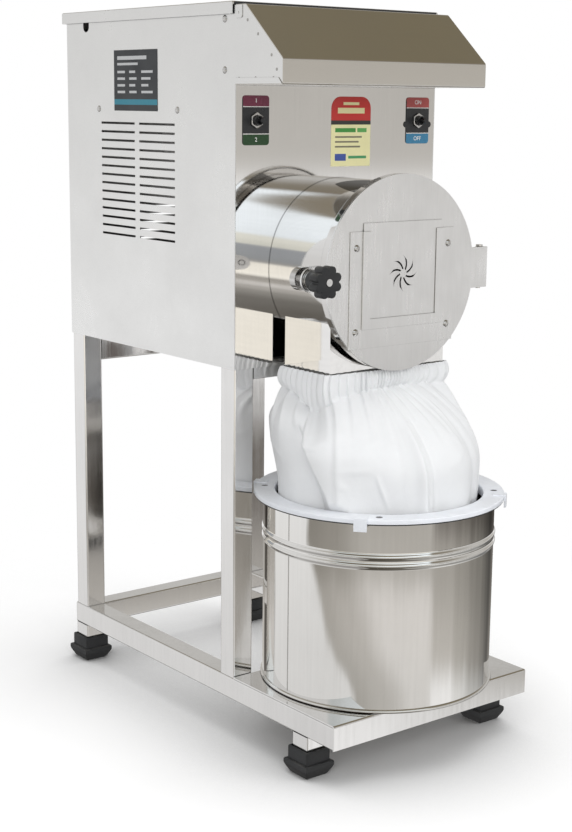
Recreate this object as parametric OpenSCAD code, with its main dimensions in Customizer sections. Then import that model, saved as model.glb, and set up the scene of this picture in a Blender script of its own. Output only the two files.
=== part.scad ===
// Floor-standing electric grain mill: stand, casing, motor, grinding chamber, cloth sleeve and bucket

/* [Stand] */
// Width over the stand and the casing
stand_w = 330; // [310:1:380]
// Side of the square tube
tube = 30; // [25:1:32]
// Wall of the square tube
tube_wall = 1.5; // [1:0.1:2.5]
// Height of the base rails' underside
rail_z = 54; // [50:1:80]
// How far the shelf stands out in front of the casing
shelf_reach = 206; // [195:1:240]
// Thickness of the shelf sheet
shelf_t = 2; // [1.2:0.1:3]
// Front feet, set back from the shelf's front edge
foot_setback = 51; // [40:1:80]
// Height of a rubber foot
foot_h = 36; // [30:1:45]
// Width of a foot at its widest
foot_w = 45; // [44:1:52]
// Width of a foot where it meets the floor
foot_toe_w = 33; // [28:1:40]
// Height of a foot's collar
foot_collar_h = 17; // [12:1:18]
// Rubber wall round the tube stub
foot_wall = 4; // [3:0.5:5]
// Rubber under the tube stub
foot_sole = 9; // [6:1:14]

/* [Casing] */
// Depth of the casing
casing_d = 400; // [380:1:480]
// Height over the closed lid
total_h = 941; // [900:1:1020]
// Height of the casing with its lid
casing_h = 449; // [430:1:470]
// Sheet thickness of panels, hood and lid
sheet = 1.2; // [0.8:0.1:2]
// How far the legs reach up inside the casing
leg_lap = 32; // [30:1:50]
// How far the front upper cross rail shows below the casing
rail_drop = 15; // [8:1:20]
// How far the rear upper cross rail hangs below the casing
rear_rail_drop = 39; // [15:1:50]
// Vent slots in each column
vent_rows = 14; // [8:1:16]
// Distance between vent rows
vent_pitch = 11.5; // [9:0.1:13]
// Length of a vent slot
vent_len = 84; // [60:1:100]
// Height of a vent slot
vent_h = 3; // [2:0.1:4]
// Gap between the two vent columns
vent_gap = 11; // [8:1:20]
// Height of the top vent row above the casing's lower edge
vent_top = 299; // [290:1:320]
// Vent columns' middle, behind the front panel
vent_mid = 221; // [200:1:240]

/* [Lid and hood] */
// Height of the lid's rim
lid_rim = 15; // [12:1:22]
// Room between the lid's rim and the casing
lid_gap = 2.3; // [1.5:0.1:4]
// Room behind the casing for the lid's rear rim
lid_rear_gap = 5.8; // [4:0.1:8]
// Lid's front lip, above the hood's top strip
lid_front_lip = 4; // [3:0.5:8]
// Front edge of the lid, behind the front panel
lid_setback = 2.5; // [2:0.5:10]
// Depth of the hood's flat top strip in front of the panel
hood_strip = 21; // [15:1:40]
// How far the hood stands out
hood_reach = 94; // [80:1:110]
// Height of the slope, from the top strip to the lip
hood_drop = 64; // [50:1:75]
// Height of the hood's front lip
hood_lip = 30; // [20:1:36]
// Lid hinge rod diameter
lid_rod_d = 3.2; // [2.5:0.1:4]
// Lid hinge knuckle diameter
lid_knuckle_d = 7; // [6:0.5:9]

/* [Chamber and door] */
// Height of the chamber's axis above the casing's lower edge
axis_up = 124; // [118:1:134]
// Radius of the chamber's barrel
barrel_r = 112; // [104:1:114]
// Wall of the barrel
barrel_wall = 2; // [1.5:0.1:3]
// Front of the door, ahead of the front panel
door_reach = 126; // [118:1:134]
// How far the door's edge stands past the flange
door_lap = 3; // [2:0.5:5]
// Thickness of the door plate
door_t = 3; // [2:0.5:4]
// Thickness of the door gasket
gasket_t = 3; // [2:0.5:4]
// How far the barrel's front flange stands out
flange_w = 7; // [5:0.5:9]
// Thickness of the barrel's front flange
flange_t = 4; // [3:0.5:6]
// Distance of the hinge pin from the door's edge
hinge_out = 18; // [16:0.5:22]
// Diameter of the door's hinge pin
hinge_pin_d = 6; // [4:0.5:7]
// Diameter of a door hinge knuckle
knuckle_d = 10; // [9:0.5:12]
// Height of the hinge ear
ear_h = 52; // [44:1:60]
// Distance of the clamp knob from the door's edge
knob_out = 22.6; // [21:0.1:24]
// Radius of the star knob over its lobes
knob_r = 20; // [16:0.5:22]
// Lobes of the star knob
knob_lobes = 8; // [5:1:10]
// Thickness of the star
knob_star_t = 15; // [12:1:20]
// Length of the knob's hub
knob_hub_l = 16; // [12:1:24]
// Radius of the knob's hub
knob_hub_r = 12.5; // [10:0.5:14]
// Diameter of the clamp stud
stud_d = 8.8; // [7:0.1:10]
// Depth of the stud in the lug when clamped
stud_grip = 10; // [6:0.5:12]

/* [Shutter] */
// Width over the shutter frame
frame_w = 172; // [160:1:180]
// Top of the shutter frame above the chamber's axis
frame_top = 54; // [45:1:60]
// Bottom of the shutter frame below the chamber's axis
frame_low = 89; // [80:1:92]
// Width between the frame's lips
frame_clear_w = 108; // [90:1:112]
// Bottom lip's edge below the chamber's axis
frame_clear_low = 53; // [45:1:56]
// Lap of a lip over the shutter plate
lip_lap = 11; // [6:1:13]
// Thickness of the shutter plate
shutter_t = 1.5; // [1:0.1:2]
// Rise of the shutter plate above the frame
shutter_rise = 10; // [6:1:16]
// Outer radius of the pinwheel slots
pinwheel_r = 23; // [18:1:28]
// Width of a pinwheel slot
pinwheel_slot = 2.2; // [1.5:0.1:3]

/* [Chute and bucket] */
// Width of the discharge chute
chute_w = 190; // [170:1:196]
// Depth of the discharge chute
chute_d = 90; // [80:1:94]
// Gap between the chute and the front panel
chute_gap = 13; // [10:1:16]
// How far the chute reaches below the barrel
chute_drop = 30; // [24:1:42]
// Bucket's middle, ahead of the front panel
bucket_reach = 91; // [90:1:100]
// Radius of the bucket's wall
bucket_r = 149; // [140:1:150]
// Height of the bucket
bucket_h = 245; // [220:1:260]
// Sheet thickness of the bucket
bucket_wall = 1.2; // [0.8:0.1:2]
// Outer radius of the ring cover
ring_r = 161; // [158:1:162]
// Radius of the ring cover's hole
ring_hole_r = 134; // [128:1:138]
// Thickness of the ring cover
ring_t = 4; // [3:0.5:5]
// Depth of the ring cover's skirt
ring_skirt = 2; // [1:0.5:6]
// Top of the cloth sleeve above the chute's lower edge
bag_lap = 20; // [14:1:28]
// Radius of the cloth sleeve where it bulges
bag_bulge_r = 131; // [120:1:132]
// How far the sleeve hangs below the ring cover
bag_hang = 80; // [50:1:110]

/* [Motor] */
// Radius of the motor housing
motor_r = 72; // [60:1:75]
// Length of the motor housing
motor_l = 150; // [120:1:170]
// Front of the motor, behind the front panel
motor_gap = 84; // [80:1:100]
// Diameter of the motor shaft
shaft_d = 24; // [18:0.5:26]
// Outer diameter of a bearing
bearing_d = 52; // [44:1:56]
// Width of a bearing
bearing_w = 14; // [12:1:16]
// Radius of the grinding rotor over its beaters
rotor_r = 92; // [80:1:93]
// Beaters on the rotor
beaters = 6; // [4:1:8]

/* [Hidden] */
$fn = 48;
// Clearances
run = 0.05;
slip = 0.3;
weld = 1;
eps = 0.5;
// Stand and casing planes
half_w = stand_w / 2;
knuckle_r = lid_knuckle_d / 2;
lid_back = lid_rear_gap + sheet;
rear_reach = lid_back + lid_knuckle_d;
yf = (bucket_reach + ring_r - casing_d - rear_reach) / 2;
yr = yf + casing_d;
shelf_y = yf - shelf_reach;
casing_z = total_h - casing_h;
axis_z = casing_z + axis_up;
rail_top = rail_z + tube;
shelf_top = rail_top + shelf_t;
leg_top = casing_z + leg_lap;
leg_x = half_w - sheet - tube / 2;
leg_yf = yf + sheet + tube / 2;
leg_yr = yr - sheet - tube / 2;
rail_x = half_w - tube / 2;
pan_z = leg_top;
panel_top = total_h - sheet - slip;
// Hood profile heights
strip_z = total_h - lid_front_lip - slip;
hood_lip_z = strip_z - hood_drop;
hood_low_z = hood_lip_z - hood_lip;
// Door planes and radii
flange_r = barrel_r + flange_w;
door_r = flange_r + door_lap;
hinge_x = door_r + hinge_out;
knob_x = door_r + knob_out;
yd = yf - door_reach;
flange_y = yd + door_t + gasket_t + slip;
pin_y = yd + door_t + knuckle_d / 2;
bracket_back = 24;
bracket_y = flange_y + flange_t + bracket_back;
lug_gap = 4;
lug_y = flange_y + flange_t + lug_gap;
lug_t = 10;
shutter_w = frame_clear_w + 2 * lip_lap;
channel = shutter_t + 2 * slip;
riser_x = shutter_w / 2 + slip;
screw_x = (frame_w / 2 + riser_x) / 2;
frame_screw_top = 20;
frame_screw_up = 8;
screw_zs = [frame_top - frame_screw_top, (-frame_low - frame_clear_low - lip_lap) / 2 + frame_screw_up];
// Collecting pieces
bucket_y = yf - bucket_reach;
bucket_top = shelf_top + bucket_h;
ring_z = bucket_top + slip;
rim_r = 2.5;
chute_z = axis_z - barrel_r - chute_drop;
chute_y = yf - chute_gap - chute_d / 2;
chute_wall = 1.2;
bag_top = chute_z + bag_lap;
bag_t = 1.6;
bag_clear = 0.6;
// Motor planes
motor_y = yf + motor_gap;
shield_web = 4;
shield_t = bearing_w + shield_web;
motor_end = motor_y + motor_l;
fan_gap = 8;
fan_y = motor_end + shield_t + fan_gap;
fan_w = 22;
back_t = 4;
rotor_reach = 78;
rotor_y = yf - rotor_reach;
rotor_w = 60;
shaft_room = 2;
spout_r = 22;
spout_rise = 66;
spout_z = axis_z + spout_rise;
throat_d = 52;
throat_gap = 8;
throat_y = yf + sheet + throat_gap;
// Switches and plates under the hood
under_hood = 12.7;
switch_w = 40;
switch_h = 60;
switch_z = hood_low_z - under_hood - switch_h / 2;
switch_side = 31;
mode_x = switch_side - half_w;
power_x = half_w - switch_side;
bush_d = 12;
bush_l = 9;
bush_bore = 9.2;
lever_l = 15;
plate_t = 1;
switch_xs = [mode_x, power_x];

// Box between two opposite corners
module span(a, b) {
  translate(a)
    cube(b - a);
}

// Cylinder along +Y from a point
module rod_y(x, y, z, r, l) {
  translate([x, y, z])
    rotate([-90, 0, 0])
      cylinder(r = r, h = l);
}

// Cylinder along +X from a point
module rod_x(x, y, z, r, l) {
  translate([x, y, z])
    rotate([0, 90, 0])
      cylinder(r = r, h = l);
}

// Flat outline in X and Z, thickened along +Y
module plate_xz(y, t) {
  translate([0, y + t, 0])
    rotate([90, 0, 0])
      linear_extrude(t)
        children();
}

// Outline in Y and Z, extruded along +X
module bar_yz(x, l) {
  translate([x, 0, 0])
    rotate([90, 0, 90])
      linear_extrude(l)
        children();
}

// Square tube along Z, X or Y
module tube_z(x, y, z0, z1) {
  difference() {
    span([x - tube / 2, y - tube / 2, z0], [x + tube / 2, y + tube / 2, z1]);
    span([x - tube / 2 + tube_wall, y - tube / 2 + tube_wall, z0 - eps],
      [x + tube / 2 - tube_wall, y + tube / 2 - tube_wall, z1 + eps]);
  }
}

module tube_y(x, z, y0, y1) {
  difference() {
    span([x - tube / 2, y0, z], [x + tube / 2, y1, z + tube]);
    span([x - tube / 2 + tube_wall, y0 - eps, z + tube_wall],
      [x + tube / 2 - tube_wall, y1 + eps, z + tube - tube_wall]);
  }
}

module tube_x(y, z, x0, x1) {
  difference() {
    span([x0, y - tube / 2, z], [x1, y + tube / 2, z + tube]);
    span([x0 - eps, y - tube / 2 + tube_wall, z + tube_wall],
      [x1 + eps, y + tube / 2 - tube_wall, z + tube - tube_wall]);
  }
}

// Stand
module leg_front_left() {
  color("silver")
    tube_z(-leg_x, leg_yf, rail_top, leg_top);
}

module leg_front_right() {
  color("silver")
    tube_z(leg_x, leg_yf, rail_top, leg_top);
}

module leg_rear_left() {
  color("silver")
    tube_z(-leg_x, leg_yr, rail_top, leg_top);
}

module leg_rear_right() {
  color("silver")
    tube_z(leg_x, leg_yr, rail_top, leg_top);
}

module base_rail_left() {
  color("silver")
    tube_y(-rail_x, rail_z, shelf_y + shelf_t, yr);
}

module base_rail_right() {
  color("silver")
    tube_y(rail_x, rail_z, shelf_y + shelf_t, yr);
}

module base_cross_rails() {
  color("silver")
    for (y = [shelf_y + shelf_t + tube / 2, yr - tube / 2])
      tube_x(y, rail_z, -half_w + tube, half_w - tube);
}

module upper_cross_rails() {
  color("silver")
    for (p = [[leg_yf, rail_drop], [leg_yr, rear_rail_drop]])
      tube_x(p[0], casing_z - p[1], -leg_x + tube / 2, leg_x - tube / 2);
}

module upper_side_rails() {
  color("silver")
    for (x = [-leg_x, leg_x])
      tube_y(x, leg_top - tube, leg_yf + tube / 2, leg_yr - tube / 2);
}

module shelf_tray() {
  color("gainsboro") {
    span([-half_w, shelf_y, rail_top], [half_w, yf, shelf_top]);
    span([-half_w, shelf_y, rail_z], [half_w, shelf_y + shelf_t, rail_top]);
  }
}

foot_places = [for (x = [-rail_x, rail_x], y = [shelf_y + foot_setback + tube / 2, yr - tube / 2]) [x, y]];

module foot_stubs() {
  color("silver")
    for (p = foot_places)
      tube_z(p[0], p[1], foot_sole, rail_z);
}

foot_edge = 1;
foot_flare_h = 11;

module rubber_feet() {
  collar_w = tube + 2 * foot_wall;
  color("#26282a")
    for (p = foot_places)
      translate([p[0], p[1], 0])
        difference() {
          union() {
            hull() {
              span([-foot_toe_w / 2, -foot_toe_w / 2, 0], [foot_toe_w / 2, foot_toe_w / 2, foot_edge]);
              span([-foot_w / 2, -foot_w / 2, foot_flare_h],
                [foot_w / 2, foot_w / 2, foot_h - foot_collar_h]);
            }
            span([-collar_w / 2, -collar_w / 2, foot_h - foot_collar_h - eps],
              [collar_w / 2, collar_w / 2, foot_h]);
          }
          span([-tube / 2, -tube / 2, foot_sole], [tube / 2, tube / 2, foot_h + eps]);
        }
}

// Casing
vent_front = yf + vent_mid - vent_gap / 2 - vent_len;
vent_rear = yf + vent_mid + vent_gap / 2 + vent_len;
screw_in = 22;
screw_drops = [20.5, 81];
vent_screw_out = 6;
vent_screw_up = 20;
vent_screw_z = casing_z + vent_top + vent_screw_up;
screw_places = concat([for (drop = screw_drops) [yf + screw_in, total_h - drop]],
  [[vent_front - vent_screw_out, vent_screw_z], [vent_rear + vent_screw_out, vent_screw_z]]);
screw_shank = 2;
screw_tail = 4;
screw_head = 4.5;
screw_head_h = 2.2;
screw_dome_r = 6;
notch_r = 7.5;
notch_in = 52;
notch_y = yr - notch_in;
notch_z = total_h - lid_rim - notch_r * 2 / 3;

// Shank and domed head of a screw that is driven along -Z
module screw(grip) {
  translate([0, 0, -grip])
    cylinder(r = screw_shank, h = grip + eps);
  rotate_extrude()
    intersection() {
      translate([0, screw_head_h - screw_dome_r])
        circle(screw_dome_r);
      square([screw_head, screw_head_h]);
    }
}

module vent_slots(x) {
  for (row = [0:vent_rows - 1], y = [vent_front, vent_rear - vent_len])
    span([x - eps, y, casing_z + vent_top - row * vent_pitch],
      [x + sheet + eps, y + vent_len, casing_z + vent_top - row * vent_pitch + vent_h]);
}

module side_panel(x) {
  difference() {
    span([x, yf, casing_z], [x + sheet, yr, panel_top]);
    vent_slots(x);
    for (p = screw_places)
      rod_x(x - eps, p[0], p[1], screw_shank + run, sheet + 2 * eps);
    rod_x(x - eps, notch_y, notch_z, notch_r, sheet + 2 * eps);
    span([x - eps, notch_y - notch_r, notch_z], [x + sheet + eps, notch_y + notch_r, panel_top + eps]);
    span([x - eps, yf - eps, strip_z - sheet], [x + sheet + eps, lid_y0 + sheet + slip, panel_top + eps]);
  }
}

module left_panel() {
  color("whitesmoke")
    side_panel(-half_w);
}

module right_panel() {
  color("whitesmoke")
    side_panel(half_w - sheet);
}

module front_panel() {
  color("#b9b6b0")
    difference() {
      span([-half_w + sheet, yf, casing_z], [half_w - sheet, yf + sheet, strip_z - sheet]);
      rod_y(0, yf - eps, axis_z, shaft_d / 2 + shaft_room, sheet + 2 * eps);
      rod_y(0, yf - eps, spout_z, spout_r + slip, sheet + 2 * eps);
      for (x = switch_xs)
        rod_y(x, yf - eps, switch_z, bush_d / 2 + slip, sheet + 2 * eps);
    }
}

rear_vent_rows = 10;
rear_vent_w = 120;
rear_vent_z = axis_z - vent_pitch * (rear_vent_rows - 1) / 2;

module rear_panel() {
  color("whitesmoke")
    difference() {
      span([-half_w + sheet, yr - sheet, casing_z], [half_w - sheet, yr, panel_top]);
      for (row = [0:rear_vent_rows - 1])
        span([-rear_vent_w / 2, yr - sheet - eps, rear_vent_z + row * vent_pitch],
          [rear_vent_w / 2, yr + eps, rear_vent_z + row * vent_pitch + vent_h]);
      rod_y(gland_x, yr - sheet - eps, gland_z, gland_r, sheet + 2 * eps);
    }
}

gland_side = 55;
gland_x = half_w - gland_side;
gland_up = 60;
gland_z = casing_z + gland_up;
gland_r = 8;
gland_flange_r = 12;
gland_flange_t = 6;
gland_nut_r = 13;
gland_nut_t = 5;
gland_tail = 10;
gland_l = gland_tail + sheet + gland_flange_t;

module cable_gland() {
  color("#2a2a2c")
    difference() {
      union() {
        rod_y(gland_x, yr, gland_z, gland_flange_r, gland_flange_t);
        rod_y(gland_x, yr - sheet - gland_tail, gland_z, gland_r - run, sheet + gland_tail + eps);
        translate([gland_x, yr - sheet - gland_nut_t, gland_z])
          rotate([-90, 0, 0])
            cylinder(r = gland_nut_r, h = gland_nut_t, $fn = 6);
      }
      rod_y(gland_x, yr - sheet - gland_tail - eps, gland_z, gland_r / 2, gland_l + 2 * eps);
    }
}

pan_t = 2;
pan_top = pan_z + pan_t;

module floor_pan() {
  color("gainsboro")
    span([-half_w + sheet, yf + sheet, pan_z], [half_w - sheet, yr - sheet, pan_top]);
}

hood_in_y = yf - hood_reach + sheet;
hood_inner = [[hood_in_y, hood_low_z + sheet], [hood_in_y, hood_lip_z - sheet / 2],
  [yf - hood_strip + sheet / 2, strip_z - sheet]];
hood_outer = concat([[yf + sheet, strip_z], [yf - hood_strip, strip_z], [yf - hood_reach, hood_lip_z],
  [yf - hood_reach, hood_low_z], [yf, hood_low_z], [yf, hood_low_z + sheet]], hood_inner,
  [[yf + sheet, strip_z - sheet]]);
cheek_outline = concat([[yf, hood_low_z + sheet]], hood_inner, [[yf, strip_z - sheet]]);

module hood_cover() {
  color("#706754")
    bar_yz(-half_w, stand_w)
      polygon(hood_outer);
}

module hood_cheeks() {
  color("whitesmoke")
    for (x = [-half_w, half_w - sheet])
      bar_yz(x, sheet)
        polygon(cheek_outline);
}

module panel_screws() {
  color("silver")
    for (side = [-1, 1], p = screw_places)
      translate([side * half_w, p[0], p[1]])
        rotate([0, side * 90, 0])
          screw(sheet + screw_tail);
}

// Lid and its hinges
lid_w = stand_w + 2 * (lid_gap + sheet);
lid_y0 = yf + lid_setback;
lid_y1 = yr + lid_back;
hinge_y = lid_y1 + knuckle_r;
hinge_drop = 4;
hinge_z = total_h - lid_rim - hinge_drop;
hinge_side = 75;
hinge_xs = [hinge_side - half_w, half_w - hinge_side];
knuckle_half = 10;
lid_knuckle_l = 12;
leaf_half = 22;
leaf_t = 1.2;
leaf_h = 34;
leaf_top = 2;
lid_rod_half = knuckle_half + slip + lid_knuckle_l + run;

module lid() {
  color("whitesmoke")
    difference() {
      span([-lid_w / 2, lid_y0, total_h - lid_rim], [lid_w / 2, lid_y1, total_h]);
      span([-lid_w / 2 + sheet, lid_y0 + sheet, total_h - lid_rim - eps],
        [lid_w / 2 - sheet, lid_y1 - sheet, total_h - sheet]);
      span([-half_w - lid_gap, lid_y0 - eps, total_h - lid_rim - eps],
        [half_w + lid_gap, lid_y0 + sheet + eps, total_h - lid_front_lip]);
    }
}

module lid_leaves() {
  color("silver")
    for (x = hinge_xs, side = [-1, 1])
      translate([x + side * (knuckle_half + slip + lid_knuckle_l / 2), 0, 0])
        difference() {
          union() {
            span([-lid_knuckle_l / 2, lid_y1, hinge_z],
              [lid_knuckle_l / 2, lid_y1 + leaf_t, total_h - leaf_top]);
            rod_x(-lid_knuckle_l / 2, hinge_y, hinge_z, knuckle_r, lid_knuckle_l);
          }
          rod_x(-lid_knuckle_l, hinge_y, hinge_z, lid_rod_d / 2 + run, 2 * lid_knuckle_l);
        }
}

module lid_hinges() {
  color("silver")
    for (x = hinge_xs)
      translate([x, 0, 0])
        difference() {
          union() {
            span([-leaf_half, yr, hinge_z - leaf_h], [leaf_half, yr + leaf_t, hinge_z]);
            span([-knuckle_half, yr, hinge_z - leaf_t], [knuckle_half, hinge_y, hinge_z]);
            rod_x(-knuckle_half, hinge_y, hinge_z, knuckle_r, 2 * knuckle_half);
          }
          rod_x(-leaf_half, hinge_y, hinge_z, lid_rod_d / 2 + run, 2 * leaf_half);
        }
}

module lid_hinge_rods() {
  color("gray")
    for (x = hinge_xs)
      rod_x(x - lid_rod_half, hinge_y, hinge_z, lid_rod_d / 2, 2 * lid_rod_half);
}

// Controls and plates
plate_ear_r = 4;
plate_ear_drop = 5;
switch_body_w = 28;
switch_body_d = 26;
switch_body_h = 36;
switch_well = 8;
nut_d = 20;
nut_h = 3;
pivot_out = 3;
lever_neck_r = 2.2;
lever_root_r = 2.6;
lever_tip_r = 3.9;
lever_end_r = 3.4;

module switch_plates() {
  color("#1d1d1f")
    for (x = switch_xs)
      difference() {
        union() {
          span([x - switch_w / 2, yf - plate_t, switch_z - switch_h / 2],
            [x + switch_w / 2, yf, switch_z + switch_h / 2]);
          if (x == switch_xs[1])
            for (side = [-1, 1])
              rod_y(x + side * switch_w / 2, yf - plate_t, switch_z - plate_ear_drop, plate_ear_r, plate_t);
        }
        rod_y(x, yf - plate_t - eps, switch_z, bush_d / 2 + slip, plate_t + 2 * eps);
      }
}

module switch_bodies() {
  color("#303236")
    for (x = switch_xs)
      difference() {
        union() {
          span([x - switch_body_w / 2, yf + sheet, switch_z - switch_body_h / 2],
            [x + switch_body_w / 2, yf + sheet + switch_body_d, switch_z + switch_body_h / 2]);
          rod_y(x, yf - bush_l, switch_z, bush_d / 2, bush_l + sheet + eps);
        }
        rod_y(x, yf - bush_l - eps, switch_z, bush_bore / 2, bush_l + switch_well);
      }
}

module switch_nuts() {
  color("silver")
    for (x = switch_xs)
      difference() {
        translate([x, yf - plate_t - nut_h, switch_z])
          rotate([-90, 30, 0])
            cylinder(d = nut_d, h = nut_h, $fn = 6);
        rod_y(x, yf - plate_t - nut_h - eps, switch_z, bush_d / 2 + run, nut_h + 2 * eps);
      }
}

module lever(x) {
  translate([x, yf - pivot_out, switch_z])
    rotate([90, 0, 0]) {
      sphere(bush_bore / 2 - slip);
      rotate_extrude()
        polygon([[0, -pivot_out], [lever_neck_r, -pivot_out], [lever_neck_r, bush_l - lever_neck_r],
          [lever_root_r, lever_l - 2 * pivot_out], [lever_tip_r, lever_l - lever_neck_r],
          [lever_end_r, lever_l], [0, lever_l]]);
    }
}

module mode_lever() {
  color("#1d1d1f")
    lever(mode_x);
}

module power_lever() {
  color("#1d1d1f")
    lever(power_x);
}

label_x = 19;
label_w = 66;
label_gap = 14;
label_t = 0.4;
rating_in = 171;
rating_w = 105;
rating_h = 79;
rating_drop = 53;
rating_t = 0.5;

module front_label() {
  color("khaki")
    span([label_x - label_w / 2, yf - label_t, axis_z + barrel_r + label_gap],
      [label_x + label_w / 2, yf, hood_low_z - under_hood]);
}

module rating_plate() {
  color("#22303a")
    span([-half_w - rating_t, yf + rating_in, total_h - rating_drop - rating_h],
      [-half_w, yf + rating_in + rating_w, total_h - rating_drop]);
}

// Grinding chamber
module barrel_bore(grow) {
  rod_y(0, yd - weld, axis_z, barrel_r + grow, door_reach + 2 * weld);
}

module chamber_barrel() {
  color("lightgray")
    difference() {
      union() {
        rod_y(0, flange_y, axis_z, barrel_r, yf - flange_y);
        rod_y(0, flange_y, axis_z, flange_r, flange_t);
      }
      barrel_bore(-barrel_wall);
      span([-chute_w / 2 + outlet_edge, chute_y - chute_d / 2 + outlet_edge, axis_z - barrel_r - eps],
        [chute_w / 2 - outlet_edge, chute_y + chute_d / 2 - outlet_edge, axis_z - barrel_r / 2]);
    }
}

outlet_edge = 12;

module chamber_back_plate() {
  color("gray")
    difference() {
      rod_y(0, yf - back_t, axis_z, barrel_r - barrel_wall, back_t);
      rod_y(0, yf - back_t - eps, axis_z, shaft_d / 2 + shaft_room, back_t + 2 * eps);
      rod_y(0, yf - back_t - eps, spout_z, spout_r + slip, back_t + 2 * eps);
    }
}

liner_w = 84;
liner_y = yf - back_t - liner_w;
liner_r = barrel_r - barrel_wall - slip;
liner_teeth = 24;
liner_t = 5;
tooth_r = 2.2;
liner_low = 20;

// Upper arch of toothed steel that the beaters work against
module chamber_liner() {
  color("dimgray")
    plate_xz(liner_y, liner_w)
      translate([0, axis_z])
        intersection() {
          difference() {
            circle(liner_r);
            circle(liner_r - liner_t);
            for (i = [0:liner_teeth - 1])
              rotate(i * 360 / liner_teeth)
                translate([0, liner_r - liner_t])
                  circle(tooth_r);
          }
          translate([-barrel_r, -liner_low])
            square([2 * barrel_r, barrel_r + liner_low]);
        }
}

screen_gap = 7;
screen_r = rotor_r + screen_gap;
screen_t = 1.5;
screen_holes = 11;
screen_rows = 6;
screen_hole_r = 2.5;
screen_edge = 10;
screen_arc = 110;
screen_lip = 2;
screen_low = liner_low + screen_lip;
screen_end = sqrt(pow(screen_r, 2) - pow(screen_low, 2));
liner_end = sqrt(pow(liner_r, 2) - pow(screen_low + screen_lip, 2));

// Lower arch of perforated sheet that meters the flour
module chamber_screen() {
  color("silver")
    difference() {
      plate_xz(liner_y, liner_w)
        translate([0, axis_z]) {
          difference() {
            circle(screen_r + screen_t);
            circle(screen_r);
            translate([-barrel_r, -screen_low])
              square([2 * barrel_r, 2 * barrel_r]);
          }
          for (x = [screen_end, -liner_end])
            translate([x, -screen_low - screen_lip])
              square([liner_end - screen_end, screen_lip]);
        }
      for (i = [0:screen_holes - 1], j = [0:screen_rows - 1])
        translate([0, liner_y + screen_edge + j * (liner_w - 2 * screen_edge) / (screen_rows - 1), axis_z])
          rotate([0, (180 - screen_arc) / 2 + i * screen_arc / (screen_holes - 1), 0])
            translate([screen_r - eps, 0, 0])
              rotate([0, 90, 0])
                cylinder(r = screen_hole_r, h = screen_t + 2 * eps);
    }
}

module discharge_chute() {
  hx = chute_w / 2;
  hy = chute_d / 2;
  color("#ece6dc")
    difference() {
      span([-hx, chute_y - hy, chute_z], [hx, chute_y + hy, axis_z]);
      span([-hx + chute_wall, chute_y - hy + chute_wall, chute_z - eps],
        [hx - chute_wall, chute_y + hy - chute_wall, axis_z + eps]);
      barrel_bore(0);
    }
}

// Door hinge and clamp lug
knuckle_l = 10;
root = 8;
bracket_h = ear_h - 2 * (knuckle_l + slip);
bracket_t = 3;
pin_head_r = hinge_pin_d / 2 + 1.5;
pin_head_t = 2;

module door_hinge_bracket() {
  color("silver")
    difference() {
      union() {
        span([barrel_r - root, bracket_y - bracket_t, axis_z - bracket_h / 2],
          [hinge_x + bracket_t / 2, bracket_y, axis_z + bracket_h / 2]);
        span([hinge_x - bracket_t / 2, pin_y, axis_z - bracket_h / 2],
          [hinge_x + bracket_t / 2, bracket_y, axis_z + bracket_h / 2]);
        translate([hinge_x, pin_y, axis_z - bracket_h / 2])
          cylinder(d = knuckle_d - 3 * slip, h = bracket_h);
      }
      translate([hinge_x, pin_y, axis_z - bracket_h])
        cylinder(d = hinge_pin_d + 2 * run, h = 2 * bracket_h);
      barrel_bore(0);
    }
}

module door_hinge_pin() {
  color("gray") {
    translate([hinge_x, pin_y, axis_z - ear_h / 2 - pin_head_t])
      cylinder(d = hinge_pin_d, h = ear_h + 2 * pin_head_t);
    translate([hinge_x, pin_y, axis_z + ear_h / 2 + slip])
      cylinder(r = pin_head_r, h = pin_head_t);
  }
}

lug_half = 14;
stud_room = 1.6;

module clamp_lug() {
  color("silver")
    difference() {
      union() {
        span([-knob_x, lug_y, axis_z - lug_half], [-barrel_r + root, lug_y + lug_t, axis_z + lug_half]);
        rod_y(-knob_x, lug_y, axis_z, lug_half, lug_t);
      }
      rod_y(-knob_x, lug_y - eps, axis_z, stud_d / 2 + stud_room, lug_t + 2 * eps);
      barrel_bore(0);
    }
}

// Door with its ears
ear_end = 7;
ear_tip = hinge_x + ear_end;
door_window = 40;
clamp_ear_h = 30;
gasket_in = 1;
gasket_lap = 6;

module door_plate() {
  color("#c3c3c4")
    difference() {
      union() {
        plate_xz(yd, door_t)
          translate([0, axis_z]) {
            circle(door_r);
            translate([0, -ear_h / 2])
              square([ear_tip, ear_h]);
            translate([-knob_x, -clamp_ear_h / 2])
              square([knob_x, clamp_ear_h]);
            translate([-knob_x, 0])
              circle(clamp_ear_h / 2);
          }
        for (z = [-ear_h / 2, ear_h / 2 - knuckle_l])
          translate([hinge_x, pin_y, axis_z + z]) {
            cylinder(d = knuckle_d, h = knuckle_l);
            translate([-knuckle_d / 2, -knuckle_d / 2, 0])
              cube([knuckle_d, knuckle_d / 2, knuckle_l]);
          }
      }
      translate([hinge_x, pin_y, axis_z - ear_h])
        cylinder(d = hinge_pin_d + 2 * run, h = 2 * ear_h);
      span([-door_window, yd - eps, axis_z - door_window],
        [door_window, yd + door_t + eps, axis_z + door_window]);
      rod_y(-knob_x, yd - eps, axis_z, stud_d / 2 + slip, door_t + 2 * eps);
      for (x = [-screw_x, screw_x], z = screw_zs)
        rod_y(x, yd - eps, axis_z + z, screw_shank + run, door_t + 2 * eps);
    }
}

module door_gasket() {
  color("#303030")
    difference() {
      rod_y(0, yd + door_t, axis_z, flange_r - gasket_in, gasket_t);
      rod_y(0, yd, axis_z, barrel_r - gasket_lap, door_t + gasket_t + eps);
    }
}

// Shutter
frame_t = 1.2;
lip_y = yd - channel - frame_t;

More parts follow.
